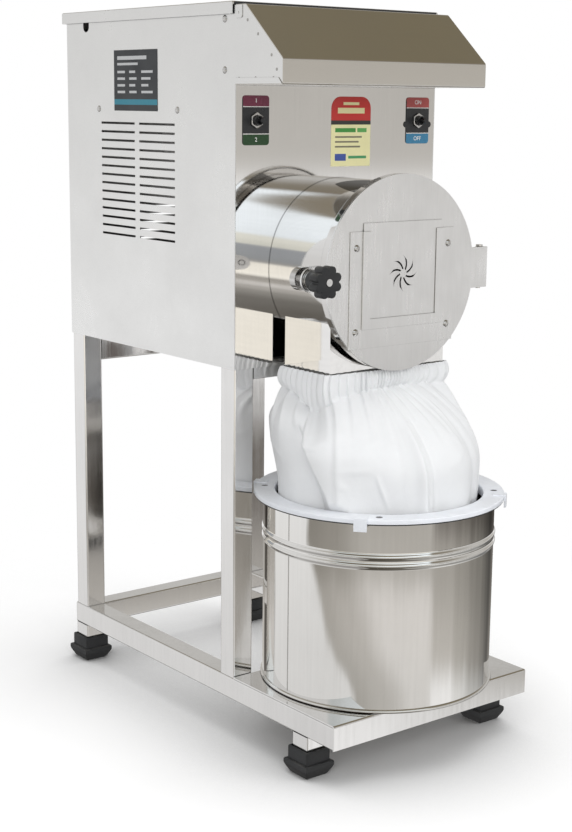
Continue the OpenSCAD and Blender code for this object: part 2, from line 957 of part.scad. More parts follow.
module shutter_frame() {
  low = -frame_clear_low - lip_lap - slip;
  color("#c9c9ca")
    difference() {
      union() {
        plate_xz(yd - frame_t, frame_t)
          translate([0, axis_z])
            difference() {
              translate([-frame_w / 2, -frame_low])
                square([frame_w, frame_top + frame_low]);
              translate([-riser_x, low])
                square([2 * riser_x, frame_top - low + eps]);
            }
        plate_xz(lip_y, yd - lip_y)
          translate([0, axis_z])
            difference() {
              translate([-riser_x - frame_t, low - frame_t])
                square([2 * (riser_x + frame_t), frame_top - low + frame_t]);
              translate([-riser_x, low])
                square([2 * riser_x, frame_top - low + eps]);
            }
        plate_xz(lip_y, frame_t)
          translate([0, axis_z])
            difference() {
              translate([-riser_x - frame_t, low - frame_t])
                square([2 * (riser_x + frame_t), frame_top - low + frame_t]);
              translate([-frame_clear_w / 2, -frame_clear_low])
                square([frame_clear_w, frame_top + frame_clear_low + eps]);
            }
      }
      for (x = [-screw_x, screw_x], z = screw_zs)
        rod_y(x, lip_y - eps, axis_z + z, screw_shank + run, yd - lip_y + 2 * eps);
    }
}

module shutter_screws() {
  color("silver")
    for (x = [-screw_x, screw_x], z = screw_zs)
      translate([x, yd - frame_t, axis_z + z])
        rotate([90, 0, 0])
          screw(door_t + frame_t);
}

shutter_y = yd - slip - shutter_t;
slot_count = 8;
slot_bend = 0.72;
slot_start = 0.32;
slot_span = 0.62;
slot_r = pinwheel_r * slot_bend;

module pinwheel() {
  for (i = [0:slot_count - 1])
    rotate(i * 360 / slot_count)
      translate([-slot_r, 0])
        intersection() {
          difference() {
            circle(slot_r + pinwheel_slot / 2);
            circle(slot_r - pinwheel_slot / 2);
          }
          translate([0, slot_r * slot_start])
            square([2 * slot_r, slot_r * slot_span]);
        }
}

module shutter_plate() {
  color("#bdbdbe")
    plate_xz(shutter_y, shutter_t)
      translate([0, axis_z])
        difference() {
          translate([-shutter_w / 2, -frame_clear_low - lip_lap])
            square([shutter_w, frame_clear_low + lip_lap + frame_top + shutter_rise]);
          pinwheel();
        }
}

// Clamp knob
washer_t = 2;
washer_y = yd - slip - washer_t;
hub_y = washer_y - knob_hub_l;
star_y = hub_y - knob_star_t;
stud_tip = lug_y + stud_grip;
lobe_r = knob_r * 0.27;
waist_r = knob_r - 0.8 * lobe_r;
stud_show = 1;
washer_in = 1;

module knob_washer() {
  color("silver")
    difference() {
      rod_y(-knob_x, washer_y, axis_z, knob_hub_r - washer_in, washer_t);
      rod_y(-knob_x, washer_y - eps, axis_z, stud_d / 2 + run, washer_t + 2 * eps);
    }
}

module star_knob() {
  color("#222426")
    difference() {
      union() {
        rod_y(-knob_x, hub_y - eps, axis_z, knob_hub_r, knob_hub_l + eps);
        plate_xz(star_y, knob_star_t)
          translate([-knob_x, axis_z]) {
            circle(waist_r);
            for (i = [0:knob_lobes - 1])
              rotate((i + 0.5) * 360 / knob_lobes)
                translate([knob_r - lobe_r, 0])
                  circle(lobe_r);
          }
      }
      rod_y(-knob_x, star_y - eps, axis_z, stud_d / 2 + run, knob_star_t + knob_hub_l + 2 * eps);
    }
}

module knob_stud() {
  color("silver")
    rod_y(-knob_x, star_y - stud_show, axis_z, stud_d / 2, stud_tip - star_y + stud_show);
}

// Motor and rotor
motor_wall = 16;
motor_foot_w = 120;
motor_foot_l = 24;
motor_foot_in = 20;
motor_foot_top = axis_z - 0.7 * motor_r;

module motor_housing() {
  color("#5b6a72")
    difference() {
      union() {
        rod_y(0, motor_y, axis_z, motor_r, motor_l);
        for (y = [motor_y + motor_foot_in, motor_end - motor_foot_in - motor_foot_l])
          span([-motor_foot_w / 2, y, pan_top], [motor_foot_w / 2, y + motor_foot_l, motor_foot_top]);
      }
      rod_y(0, motor_y - eps, axis_z, motor_r - motor_wall, motor_l + 2 * eps);
    }
}

module end_shield(y, seat_y) {
  difference() {
    rod_y(0, y, axis_z, motor_r, shield_t);
    rod_y(0, y - eps, axis_z, shaft_d / 2 + shaft_room, shield_t + 2 * eps);
    rod_y(0, seat_y, axis_z, bearing_d / 2, bearing_w + eps);
  }
}

front_seat = motor_y - bearing_w;
rear_seat = motor_end - eps;

module motor_end_shields() {
  color("#4d5a61") {
    end_shield(motor_y - shield_t, front_seat);
    end_shield(motor_end, rear_seat);
  }
}

module motor_bearings() {
  color("gray")
    for (y = [front_seat, motor_end])
      difference() {
        rod_y(0, y, axis_z, bearing_d / 2 - run, bearing_w - eps);
        rod_y(0, y - eps, axis_z, shaft_d / 2 + run, bearing_w + 2 * eps);
      }
}

nut_t = 10;
nut_step = 4;
air_gap = 1;
core_in = 14;
core_r = motor_r - motor_wall - air_gap;

module motor_shaft() {
  color("silver") {
    rod_y(0, rotor_y - nut_t - nut_step, axis_z, shaft_d / 2 - nut_step, nut_t + nut_step + eps);
    rod_y(0, rotor_y, axis_z, shaft_d / 2, fan_y + fan_w - rotor_y + nut_step);
    rod_y(0, motor_y + core_in, axis_z, core_r, motor_l - 2 * core_in);
  }
}

rotor_hub_r = 30;
rotor_disc_t = 10;
beater_t = 12;
beater_out = 22;
beater_in = 40;
beater_tip = 1;

module grinding_rotor() {
  color("dimgray")
    difference() {
      union() {
        rod_y(0, rotor_y, axis_z, rotor_hub_r, rotor_w);
        rod_y(0, rotor_y + (rotor_w - rotor_disc_t) / 2, axis_z, rotor_r - beater_out, rotor_disc_t);
        for (i = [0:beaters - 1])
          translate([0, rotor_y, axis_z])
            rotate([0, i * 360 / beaters, 0])
              span([rotor_r - beater_in, 0, -beater_t / 2], [rotor_r - beater_tip, rotor_w, beater_t / 2]);
      }
      rod_y(0, rotor_y - eps, axis_z, shaft_d / 2 + run, rotor_w + 2 * eps);
    }
}

rotor_nut_r = shaft_d / 2 + 6;

module rotor_nut() {
  color("silver")
    difference() {
      translate([0, rotor_y - nut_t, axis_z])
        rotate([-90, 0, 0])
          cylinder(r = rotor_nut_r, h = nut_t, $fn = 6);
      rod_y(0, rotor_y - nut_t - eps, axis_z, shaft_d / 2 - nut_step + run, nut_t + 2 * eps);
    }
}

fan_blades = 8;
fan_hub_r = shaft_d / 2 + 7;
fan_r = motor_r - 8;
fan_disc_t = 2.5;
blade_t = 2;
blade_edge = 2;

module cooling_fan() {
  color("#3a3d40")
    difference() {
      union() {
        rod_y(0, fan_y, axis_z, fan_hub_r, fan_w);
        rod_y(0, fan_y, axis_z, fan_r, fan_disc_t);
        for (i = [0:fan_blades - 1])
          translate([0, fan_y, axis_z])
            rotate([0, i * 360 / fan_blades, 0])
              span([fan_hub_r - blade_edge, 0, -blade_t / 2], [fan_r - blade_edge, fan_w, blade_t / 2]);
      }
      rod_y(0, fan_y - eps, axis_z, shaft_d / 2 + run, fan_w + 2 * eps);
    }
}

capacitor_r = 20;
capacitor_l = 90;
capacitor_side = 40;
capacitor_in = 20;

module capacitor() {
  color("#d8d8d4")
    rod_y(capacitor_side - half_w, motor_y + capacitor_in, pan_top + capacitor_r, capacitor_r, capacitor_l);
}

// Hopper with its feed spout
hopper_t = 1.5;
hopper_side = 20;
hopper_w = stand_w - 2 * hopper_side;
hopper_d = 250;
hopper_down = 2;
hopper_top = panel_top - hopper_down;
neck_rise = 64;
hopper_neck = spout_z + neck_rise;
hopper_sump = 4;
hopper_low = spout_z - spout_r - hopper_sump;
hopper_rim = half_w - sheet;
hull_t = 1;
spout_l = throat_y - yf + back_t;

module funnel(inset) {
  hull() {
    span([-hopper_w / 2 + inset, throat_y + inset, hopper_top - hull_t],
      [hopper_w / 2 - inset, throat_y + hopper_d - inset, hopper_top]);
    span([-throat_d / 2 + inset, throat_y + inset, hopper_neck],
      [throat_d / 2 - inset, throat_y + throat_d - inset, hopper_neck + hull_t]);
  }
}

module hopper() {
  color("gainsboro")
    difference() {
      union() {
        funnel(0);
        span([-hopper_rim, throat_y, hopper_top - hopper_t], [hopper_rim, throat_y + hopper_d, hopper_top]);
        span([-throat_d / 2, throat_y, hopper_low],
          [throat_d / 2, throat_y + throat_d, hopper_neck + hull_t]);
        rod_y(0, yf - back_t, spout_z, spout_r, spout_l + eps);
      }
      funnel(hopper_t);
      span([-hopper_w / 2 + hopper_t, throat_y + hopper_t, hopper_top - hull_t - eps],
        [hopper_w / 2 - hopper_t, throat_y + hopper_d - hopper_t, hopper_top + eps]);
      span([-throat_d / 2 + hopper_t, throat_y + hopper_t, hopper_low + hopper_t],
        [throat_d / 2 - hopper_t, throat_y + throat_d - hopper_t, hopper_neck + hull_t + eps]);
      rod_y(0, yf - back_t - eps, spout_z, spout_r - hopper_t, spout_l + hopper_t + 2 * eps);
    }
}

// Bucket, ring cover and cloth sleeve
bead_r = 2.4;
beads = [46, 57];

module bucket() {
  color("lightgray")
    translate([0, bucket_y, shelf_top])
      rotate_extrude($fn = 96) {
        square([bucket_r, bucket_wall]);
        translate([bucket_r - bucket_wall, 0])
          square([bucket_wall, bucket_h - rim_r]);
        translate([bucket_r + rim_r - bucket_wall, bucket_h - rim_r])
          circle(rim_r);
        translate([bucket_r, rim_r])
          circle(rim_r);
        for (drop = beads)
          translate([bucket_r - bucket_wall / 2, bucket_h - drop])
            circle(bead_r);
      }
}

tab_w = 16;
tab_h = 10;
tab_count = 4;
tab_turn = 41;
tab_r = bucket_r + 2 * rim_r - bucket_wall + slip;
skirt_t = 2.5;
collar_h = 8;
ring_holes_turn = 49;
ring_hole_d = 9;

module ring_cover() {
  color("#e8ecf6")
    translate([0, bucket_y, ring_z]) {
      difference() {
        rotate_extrude($fn = 96) {
          translate([ring_hole_r, 0])
            square([ring_r - ring_hole_r, ring_t]);
          translate([ring_r - skirt_t, -ring_skirt])
            square([skirt_t, ring_skirt + ring_t]);
          translate([ring_hole_r, -collar_h])
            square([skirt_t, ring_t + collar_h]);
        }
        for (i = [0:tab_count - 1])
          rotate(i * 360 / tab_count + ring_holes_turn)
            translate([(ring_hole_r + ring_r) / 2, 0, -eps])
              cylinder(d = ring_hole_d, h = ring_t + 2 * eps);
      }
      for (i = [0:tab_count - 1])
        rotate(i * 360 / tab_count + tab_turn)
          translate([tab_r, -tab_w / 2, weld - ring_skirt - tab_h])
            cube([ring_r - slip - tab_r, tab_w, tab_h]);
    }
}

// The sleeve is lofted from the chute's outline to a round mouth in the ring's hole
bag_low = ring_z - bag_hang;
bag_quarter = 11;
bag_split = 5;
bag_sides = 4 * bag_quarter;
bag_rings = 11;
bag_folds = 11;
bag_mouth_x = chute_w / 2 + bag_clear;
bag_mouth_y = chute_d / 2 + bag_clear;
bag_corner = atan(bag_mouth_y / bag_mouth_x);
function ease(t) = t * t * (3 - 2 * t);
function level(i) = i / (bag_rings - 1);
function mouth_r(a) = min(bag_mouth_x / max(abs(cos(a)), 0.001), bag_mouth_y / max(abs(sin(a)), 0.001));
// Each quarter of the sleeve has a point at the chute's corner
function quarter_a(k, corner, n) =
  k <= n ? corner * k / n : corner + (90 - corner) * (k - n) / (bag_quarter - n);
function bag_a(j) = let (q = floor(j / bag_quarter), k = j % bag_quarter, even = q % 2 == 0)
  90 * q + quarter_a(k, even ? bag_corner : 90 - bag_corner, even ? bag_split : bag_quarter - bag_split);
// Folds: their height, how far down they reach, and how unevenly they stand
fold_h = 3;
fold_reach = 2 / 3;
fold_sway = 40;
// Shares of the sleeve's height: end of the hem, end of the swell and start of the lower taper
hem_share = 0.09;
swell_share = 0.33;
taper_share = 0.45;
taper = 8;
bag_r = bag_bulge_r - 2 * fold_h;
function fold(t, a) =
  fold_h * sin(180 * min(1, t / fold_reach)) * sin(bag_folds * a + fold_sway * sin(2 * a));
function swell(t) = ease(min(1, max(0, (t - hem_share) / (swell_share - hem_share))));
function slim(t) = taper * ease(max(0, (t - taper_share) / (1 - taper_share)));
function wall_r(t, a, grow) = grow + mouth_r(a) * (1 - swell(t)) + (bag_r - slim(t) + fold(t, a)) * swell(t);
function bag_point(i, j, grow) = let (t = level(i), a = bag_a(j))
  [wall_r(t, a, grow) * cos(a), chute_y + (bucket_y - chute_y) * swell(t) + wall_r(t, a, grow) * sin(a),
  bag_top + (bag_low - bag_top) * t];
bag_points = [for (grow = [bag_t, 0], i = [0:bag_rings - 1], j = [0:bag_sides - 1]) bag_point(i, j, grow)];
function at(s, i, j) = (s * bag_rings + i) * bag_sides + j % bag_sides;
bag_end = bag_rings - 1;
// Two triangles of the quad a, b, c, d
function quad(a, b, c, d) = [[a, b, d], [b, c, d]];
bag_faces = [for (j = [0:bag_sides - 1]) each concat(
  [for (i = [0:bag_end - 1]) each quad(at(0, i, j), at(0, i, j + 1), at(0, i + 1, j + 1), at(0, i + 1, j))],
  [for (i = [0:bag_end - 1]) each quad(at(1, i, j), at(1, i + 1, j), at(1, i + 1, j + 1), at(1, i, j + 1))],
  quad(at(0, 0, j), at(1, 0, j), at(1, 0, j + 1), at(0, 0, j + 1)),
  quad(at(0, bag_end, j), at(0, bag_end, j + 1), at(1, bag_end, j + 1), at(1, bag_end, j)))];

module cloth_sleeve() {
  color("white")
    polyhedron(bag_points, bag_faces);
}

leg_front_left();
leg_front_right();
leg_rear_left();
leg_rear_right();
base_rail_left();
base_rail_right();
base_cross_rails();
upper_cross_rails();
upper_side_rails();
shelf_tray();
foot_stubs();
rubber_feet();
left_panel();
right_panel();
front_panel();
rear_panel();
floor_pan();
hood_cover();
hood_cheeks();
panel_screws();
cable_gland();
lid();
lid_leaves();
lid_hinges();
lid_hinge_rods();
switch_plates();
switch_bodies();
switch_nuts();
mode_lever();
power_lever();
front_label();
rating_plate();
chamber_barrel();
chamber_back_plate();
chamber_liner();
chamber_screen();
discharge_chute();
door_hinge_bracket();
door_hinge_pin();
clamp_lug();
door_plate();
door_gasket();
shutter_frame();
shutter_screws();
shutter_plate();
knob_washer();
star_knob();
knob_stud();
motor_housing();
motor_end_shields();
motor_bearings();
motor_shaft();
grinding_rotor();
rotor_nut();
cooling_fan();
capacitor();
hopper();
bucket();
ring_cover();
cloth_sleeve();
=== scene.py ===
"""Looks of a floor-standing electric grain mill, dressed round its CAD frame."""

import logging
import math
from dataclasses import dataclass
from enum import Enum
from typing import Callable, Sequence

import bmesh
import bpy
from mathutils import Matrix, Vector


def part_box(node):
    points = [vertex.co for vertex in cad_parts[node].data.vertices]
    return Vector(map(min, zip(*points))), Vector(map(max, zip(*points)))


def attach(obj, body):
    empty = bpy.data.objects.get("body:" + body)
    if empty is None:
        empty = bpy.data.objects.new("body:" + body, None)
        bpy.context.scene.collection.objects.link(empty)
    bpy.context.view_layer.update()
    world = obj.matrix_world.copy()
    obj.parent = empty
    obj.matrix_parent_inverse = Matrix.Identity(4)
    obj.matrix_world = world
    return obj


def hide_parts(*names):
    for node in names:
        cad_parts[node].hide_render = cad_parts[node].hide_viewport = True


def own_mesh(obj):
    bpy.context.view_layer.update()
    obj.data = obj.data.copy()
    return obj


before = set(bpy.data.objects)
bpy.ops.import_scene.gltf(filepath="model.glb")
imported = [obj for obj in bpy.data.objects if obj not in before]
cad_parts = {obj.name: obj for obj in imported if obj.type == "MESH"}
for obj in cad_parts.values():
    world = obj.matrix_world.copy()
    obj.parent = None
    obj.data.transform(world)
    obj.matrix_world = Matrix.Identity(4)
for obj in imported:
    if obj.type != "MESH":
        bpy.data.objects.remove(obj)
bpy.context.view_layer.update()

LOG = logging.getLogger("grain_mill")
MM = 0.001
FULL_TURN = 2 * math.pi
WELD = 1e-5
FLAT_DEG = 0.5
FOLD_DEG = 60.0
SMOOTH_DEG = 34.0
AREA_WEIGHT = 100
WHITE = 1.0

Colour = tuple[float, float, float]
Point = tuple[float, float, float]
Span = tuple[float, float]
Profile = list[Span]
Piece = bpy.types.Object
Edge = bmesh.types.BMEdge
Test = Callable[[Edge | bmesh.types.BMFace], bool]
Socket = bpy.types.NodeSocket
Value = Socket | float | Sequence[float]
Stops = Sequence[tuple[float, Colour | float]]


class Axis(Enum):
    """Direction that a turned piece spins round."""

    X = (1.0, 0.0, 0.0)
    Y = (0.0, 1.0, 0.0)
    Z = (0.0, 0.0, 1.0)


class Edit:
    """Edit mode on one piece, with elements selected in code."""

    def __init__(self, piece: Piece, kind: str = "EDGE") -> None:
        """Keeps the piece and the kind of element to select."""
        self.piece, self.kind = piece, kind

    def __enter__(self) -> "Edit":
        """Enters edit mode with nothing selected."""
        activate(self.piece)
        bpy.ops.object.mode_set(mode="EDIT")
        bpy.ops.mesh.select_mode(type=self.kind)
        bpy.ops.mesh.select_all(action="DESELECT")
        return self

    def __exit__(self, *error: object) -> None:
        """Goes back to object mode."""
        bpy.ops.object.mode_set(mode="OBJECT")

    def all(self) -> None:
        """Selects the whole mesh."""
        bpy.ops.mesh.select_all(action="SELECT")

    def pick(self, test: Test) -> int:
        """Selects the faces or edges that pass a test.

        Args:
            test: says whether an element is wanted.

        Returns:
            How many are selected.
        """
        mesh = bmesh.from_edit_mesh(self.piece.data)
        found = [e for e in (mesh.faces if self.kind == "FACE" else mesh.edges) if test(e)]
        for element in found:
            element.select_set(True)
        mesh.select_flush_mode()
        bmesh.update_edit_mesh(self.piece.data)
        return len(found)

    def tidy(self) -> None:
        """Merges doubles and turns every face outwards."""
        self.all()
        bpy.ops.mesh.remove_doubles(threshold=WELD)
        bpy.ops.mesh.normals_make_consistent(inside=False)


def activate(piece: Piece) -> None:
    """Selects one piece alone and makes it active.

    Args:
        piece: the object to work on.
    """
    bpy.ops.object.select_all(action="DESELECT")
    piece.select_set(True)
    bpy.context.view_layer.objects.active = piece


def applied(piece: Piece, name: str) -> Piece:
    """Puts a new piece's place into its mesh and names it.

    Args:
        piece: the new piece.
        name: its name.

    Returns:
        The same object, at the origin.
    """
    activate(piece)
    bpy.ops.object.transform_apply(location=True, rotation=True, scale=True)
    piece.name = piece.data.name = name
    return piece


def primitive(name: str, add: Callable[..., object], **values: object) -> Piece:
    """Adds a primitive with nothing else selected.

    Args:
        name: the piece's name.
        add: the operator that adds it.
        values: the operator's settings.

    Returns:
        The primitive, with its place in its mesh.
    """
    bpy.ops.object.select_all(action="DESELECT")
    add(**values)
    return applied(bpy.context.object, name)


def block(name: str, low: Sequence[float], high: Sequence[float]) -> Piece:
    """Adds a box between two corners.

    Args:
        name: the piece's name.
        low: lowest corner.
        high: highest corner.

    Returns:
        The box.
    """
    low, high = Vector(low), Vector(high)
    middle, sides = (low + high) / 2, high - low
    return primitive(name, bpy.ops.mesh.primitive_cube_add, size=1, location=middle, scale=sides)


def disc(name: str, centre: Vector, axis: Axis, radius: float, depth: float, sides: int) -> Piece:
    """Adds a cylinder with its middle at a point.

    Args:
        name: the piece's name.
        centre: middle of the cylinder.
        axis: direction of its axis.
        radius: its radius.
        depth: its length.
        sides: number of sides.

    Returns:
        The cylinder.
    """
    turn = {Axis.X: (0, math.pi / 2, 0), Axis.Y: (math.pi / 2, 0, 0), Axis.Z: (0, 0, 0)}[axis]
    return primitive(
        name, bpy.ops.mesh.primitive_cylinder_add,
        vertices=sides, radius=radius, depth=depth, location=centre, rotation=turn,
    )


def lathe(name: str, centre: Vector, axis: Axis, profile: Profile, steps: int) -> Piece:
    """Traces a closed profile and spins it into a turned piece.

    Args:
        name: the piece's name.
        centre: point on the axis from which heights are measured.
        axis: direction of the axis.
        profile: (radius, height) pairs round the section.
        steps: steps in the full turn.

    Returns:
        The turned piece.
    """
    up = Vector(axis.value)
    out = Vector(Axis.Y.value if axis is Axis.X else Axis.X.value)
    points = [Vector(centre) + out * r + up * h for r, h in profile]
    piece = primitive(name, bpy.ops.mesh.primitive_plane_add, size=MM, location=points[0])
    with Edit(piece, "VERT") as edit:
        edit.all()
        bpy.ops.mesh.merge(type="CENTER")
        for a, b in zip(points, points[1:] + points[:1]):
            bpy.ops.mesh.extrude_vertices_move(TRANSFORM_OT_translate={"value": b - a})
        edit.all()
        bpy.ops.mesh.remove_doubles(threshold=WELD)
        edit.all()
        bpy.ops.mesh.spin(steps=steps, angle=FULL_TURN, center=centre, axis=up)
        edit.tidy()
    return piece


def arc(centre: Span, radius: float, start: float, end: float, steps: int) -> Profile:
    """Points along an arc of a profile."""
    turns = [math.radians(start + (end - start) * i / steps) for i in range(steps + 1)]
    return [(centre[0] + radius * math.cos(t), centre[1] + radius * math.sin(t)) for t in turns]


def linked(name: str, data: bpy.types.ID) -> Piece:
    """Makes a mesh, lamp or camera an object of the scene.

    Args:
        name: the object's name.
        data: its mesh, lamp or camera.

    Returns:
        The object.
    """
    piece = bpy.data.objects.new(name, data)
    bpy.context.scene.collection.objects.link(piece)
    return piece


def turned(piece: Piece, name: str, centre: Sequence[float], turn_deg: float) -> Piece:
    """Copies a piece made at the origin to a place, turned about the vertical.

    Args:
        piece: the piece to copy.
        name: the copy's name.
        centre: where the origin goes.
        turn_deg: how far it turns.

    Returns:
        The copy, with its own mesh.
    """
    copy = linked(name, piece.data.copy())
    copy.location = centre
    copy.rotation_euler.z = math.radians(turn_deg)
    return applied(copy, name)


def bevel(piece: Piece, width: float, steps: int, test: Test) -> Piece:
    """Rounds the edges of a piece that pass a test.

    Args:
        piece: the mesh object.
        width: how far the round reaches from the edge.
        steps: steps in the round.
        test: says whether an edge is rounded.

    Returns:
        The same piece.
    """
    with Edit(piece) as edit:
        if edit.pick(test):
            bpy.ops.mesh.bevel(
                offset=width, offset_type="OFFSET", segments=steps, affect="EDGES", clamp_overlap=True
            )
    return piece


def rounded(node: str, name: str, width: float, steps: int, test: Test) -> Piece:
    """Copies a CAD node, welded and with its flat faces whole, and rounds its edges.

    Args:
        node: the CAD node's name.
        name: the new piece's name.
        width: how far the round reaches from the edge.
        steps: steps in the round.
        test: says whether an edge is rounded.

    Returns:
        The copy.
    """
    piece = linked(name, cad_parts[node].data.copy())
    with Edit(piece, "VERT") as edit:
        edit.all()
        bpy.ops.mesh.customdata_custom_splitnormals_clear()
        bpy.ops.mesh.remove_doubles(threshold=WELD)
        bpy.ops.mesh.dissolve_limited(angle_limit=math.radians(FLAT_DEG))
    return bevel(piece, width, steps, test)


def sharp(limit_deg: float = FOLD_DEG, length: float = 0.0) -> Test:
    """Makes a test for outward edges that turn by more than an angle.

    Args:
        limit_deg: least turn between the two faces.
        length: least length of the edge.

    Returns:
        The test.
    """
    limit = math.radians(limit_deg)
    return lambda e: (
        e.is_manifold and e.is_convex and e.calc_face_angle(0) > limit and e.calc_length() > length
    )


def along(edge: Edge, axis: Axis) -> bool:
    """Whether an edge runs along an axis."""
    way = edge.verts[1].co - edge.verts[0].co
    return all(abs(step) < WELD for step, on_axis in zip(way, axis.value) if not on_axis)


def on_top(edge: Edge, z: float) -> bool:
    """Whether both ends of an edge are at a height."""
    return all(abs(v.co.z - z) < WELD for v in edge.verts)


def apply_modifier(piece: Piece, kind: str, **values: object) -> None:
    """Adds a modifier, sets its values and applies it.

    Args:
        piece: the mesh object.
        kind: Blender's modifier type.
        values: the modifier's settings by name.
    """
    activate(piece)
    modifier = piece.modifiers.new(kind.title(), kind)
    for key, value in values.items():
        setattr(modifier, key, value)
    bpy.ops.object.modifier_apply(modifier=modifier.name)


def combine(piece: Piece, operation: str, other: Piece) -> None:
    """Cuts one solid out of another or unites them, and removes the second."""
    apply_modifier(piece, "BOOLEAN", operation=operation, solver="EXACT", object=other)
    bpy.data.objects.remove(other)


def join(pieces: Sequence[Piece], name: str) -> Piece:
    """Joins several meshes into one object.

    Args:
        pieces: the objects to join.
        name: the joined object's name.

    Returns:
        The joined object.
    """
    activate(pieces[0])
    for piece in pieces:
        piece.select_set(True)
    bpy.ops.object.join()
    joined = bpy.context.object
    joined.name = joined.data.name = name
    return joined


def rgba(colour: Value) -> Value:
    """Makes a grey or a colour of three numbers whole, and passes sockets on."""
    if isinstance(colour, Socket):
        return colour
    return (*grey(colour), 1.0) if isinstance(colour, float) else (*colour, 1.0)


def grey(value: float) -> Colour:
    """A neutral colour."""
    return (value, value, value)


class Nodes:
    """A node tree with short calls to add and join nodes."""

    def __init__(self, tree: bpy.types.NodeTree) -> None:
        """Keeps the tree."""
        self.tree, self.link = tree, tree.links.new

    def add(self, kind: str, inputs: dict | None = None, **settings: object) -> bpy.types.Node:
        """Adds a node.

        Args:
            kind: the node's type without its ShaderNode prefix.
            inputs: socket values or sockets to join, by socket name or number.
            settings: the node's own settings.

        Returns:
            The new node.
        """
        node = self.tree.nodes.new(kind if kind.startswith("Node") else "ShaderNode" + kind)
        for key, value in settings.items():
            setattr(node, key, value)
        for key, value in (inputs or {}).items():
            if isinstance(value, Socket):
                self.link(value, node.inputs[key])
            else:
                node.inputs[key].default_value = value
        return node

    def math(self, operation: str, a: Value, b: Value = 0.0, clamped: bool = False) -> Socket:
        """Adds a Math node."""
        return self.add("Math", {0: a, 1: b}, operation=operation, use_clamp=clamped).outputs[0]

    def times(self, a: Value, b: Value) -> Socket:
        """The product of two values."""
        return self.math("MULTIPLY", a, b)

    def mix(self, share: Value, a: Value, b: Value, blend: str = "MIX") -> Socket:
        """Mixes two colours."""
        node = self.add("Mix", {0: share, 6: rgba(a), 7: rgba(b)}, data_type="RGBA", blend_type=blend)
        return node.outputs[2]

    def ramp(self, value: Value, stops: Stops, ease: str) -> Socket:
        """Adds a colour ramp.

        Args:
            value: the ramp's input.
            stops: place and colour of each stop.
            ease: Blender's name of the interpolation.

        Returns:
            The colour's socket.
        """
        node = self.add("ValToRGB", {0: value})
        node.color_ramp.interpolation = ease
        elements = node.color_ramp.elements
        for element, (place, colour) in zip((elements[0], elements[1]), (stops[0], stops[-1])):
            element.position, element.color = place, rgba(colour)
        for place, colour in stops[1:-1]:
            elements.new(place).color = rgba(colour)
        return node.outputs[0]

    def mapped(
        self, value: Value, low: float, high: float, to_low: float = 0.0, to_high: float = 1.0
    ) -> Socket:
        """Maps a value from one range to another, kept within it."""
        return self.add("MapRange", {0: value, 1: low, 2: high, 3: to_low, 4: to_high}).outputs[0]

    def place(self) -> Socket:
        """The shaded point in the piece's own coordinates."""
        return self.add("TexCoord").outputs["Object"]

    def noise(self, scale: Value, detail: float, place: Socket | None = None, rough: float = 0.5) -> Socket:
        """Adds cloudy noise."""
        inputs = {"Vector": self.place() if place is None else place, "Scale": scale}
        return self.add("TexNoise", {**inputs, "Detail": detail, "Roughness": rough}).outputs[0]

    def bump(self, height: Socket, strength: float, distance: float, under: Socket | None = None) -> Socket:
        """Adds a bump.

        Args:
            height: the bump's height.
            strength: its strength.
            distance: its depth.
            under: a coarser bump that it lies on.

        Returns:
            The normal's socket.
        """
        below = {} if under is None else {"Normal": under}
        inputs = {"Strength": strength, "Distance": distance, "Height": height, **below}
        return self.add("Bump", inputs).outputs[0]

    def effect(self, tree: bpy.types.NodeTree, output: str = "Mask", **inputs: Value) -> Socket:
        """Adds a shared effect."""
        return self.add("Group", inputs, node_tree=tree).outputs[output]


def new_group(name: str, inputs: dict[str, Value], outputs: Sequence[str]) -> tuple[Nodes, dict, dict]:
    """Starts a shader node group with named sockets.

    Args:
        name: the group's name.
        inputs: default of each input; three numbers make a vector.
        outputs: names of the outputs, all plain values.

    Returns:
        The group's nodes, what comes in by name and the sockets to join by name.
    """
    tree = bpy.data.node_groups.new(name, "ShaderNodeTree")
    for key, value in inputs.items():
        kind = "NodeSocketVector" if isinstance(value, tuple) else "NodeSocketFloat"
        tree.interface.new_socket(key, in_out="INPUT", socket_type=kind).default_value = value
    for key in outputs:
        tree.interface.new_socket(key, in_out="OUTPUT", socket_type="NodeSocketFloat")
    nodes = Nodes(tree)
    start, end = nodes.add("NodeGroupInput"), nodes.add("NodeGroupOutput")
    return nodes, {key: start.outputs[key] for key in inputs}, {key: end.inputs[key] for key in outputs}


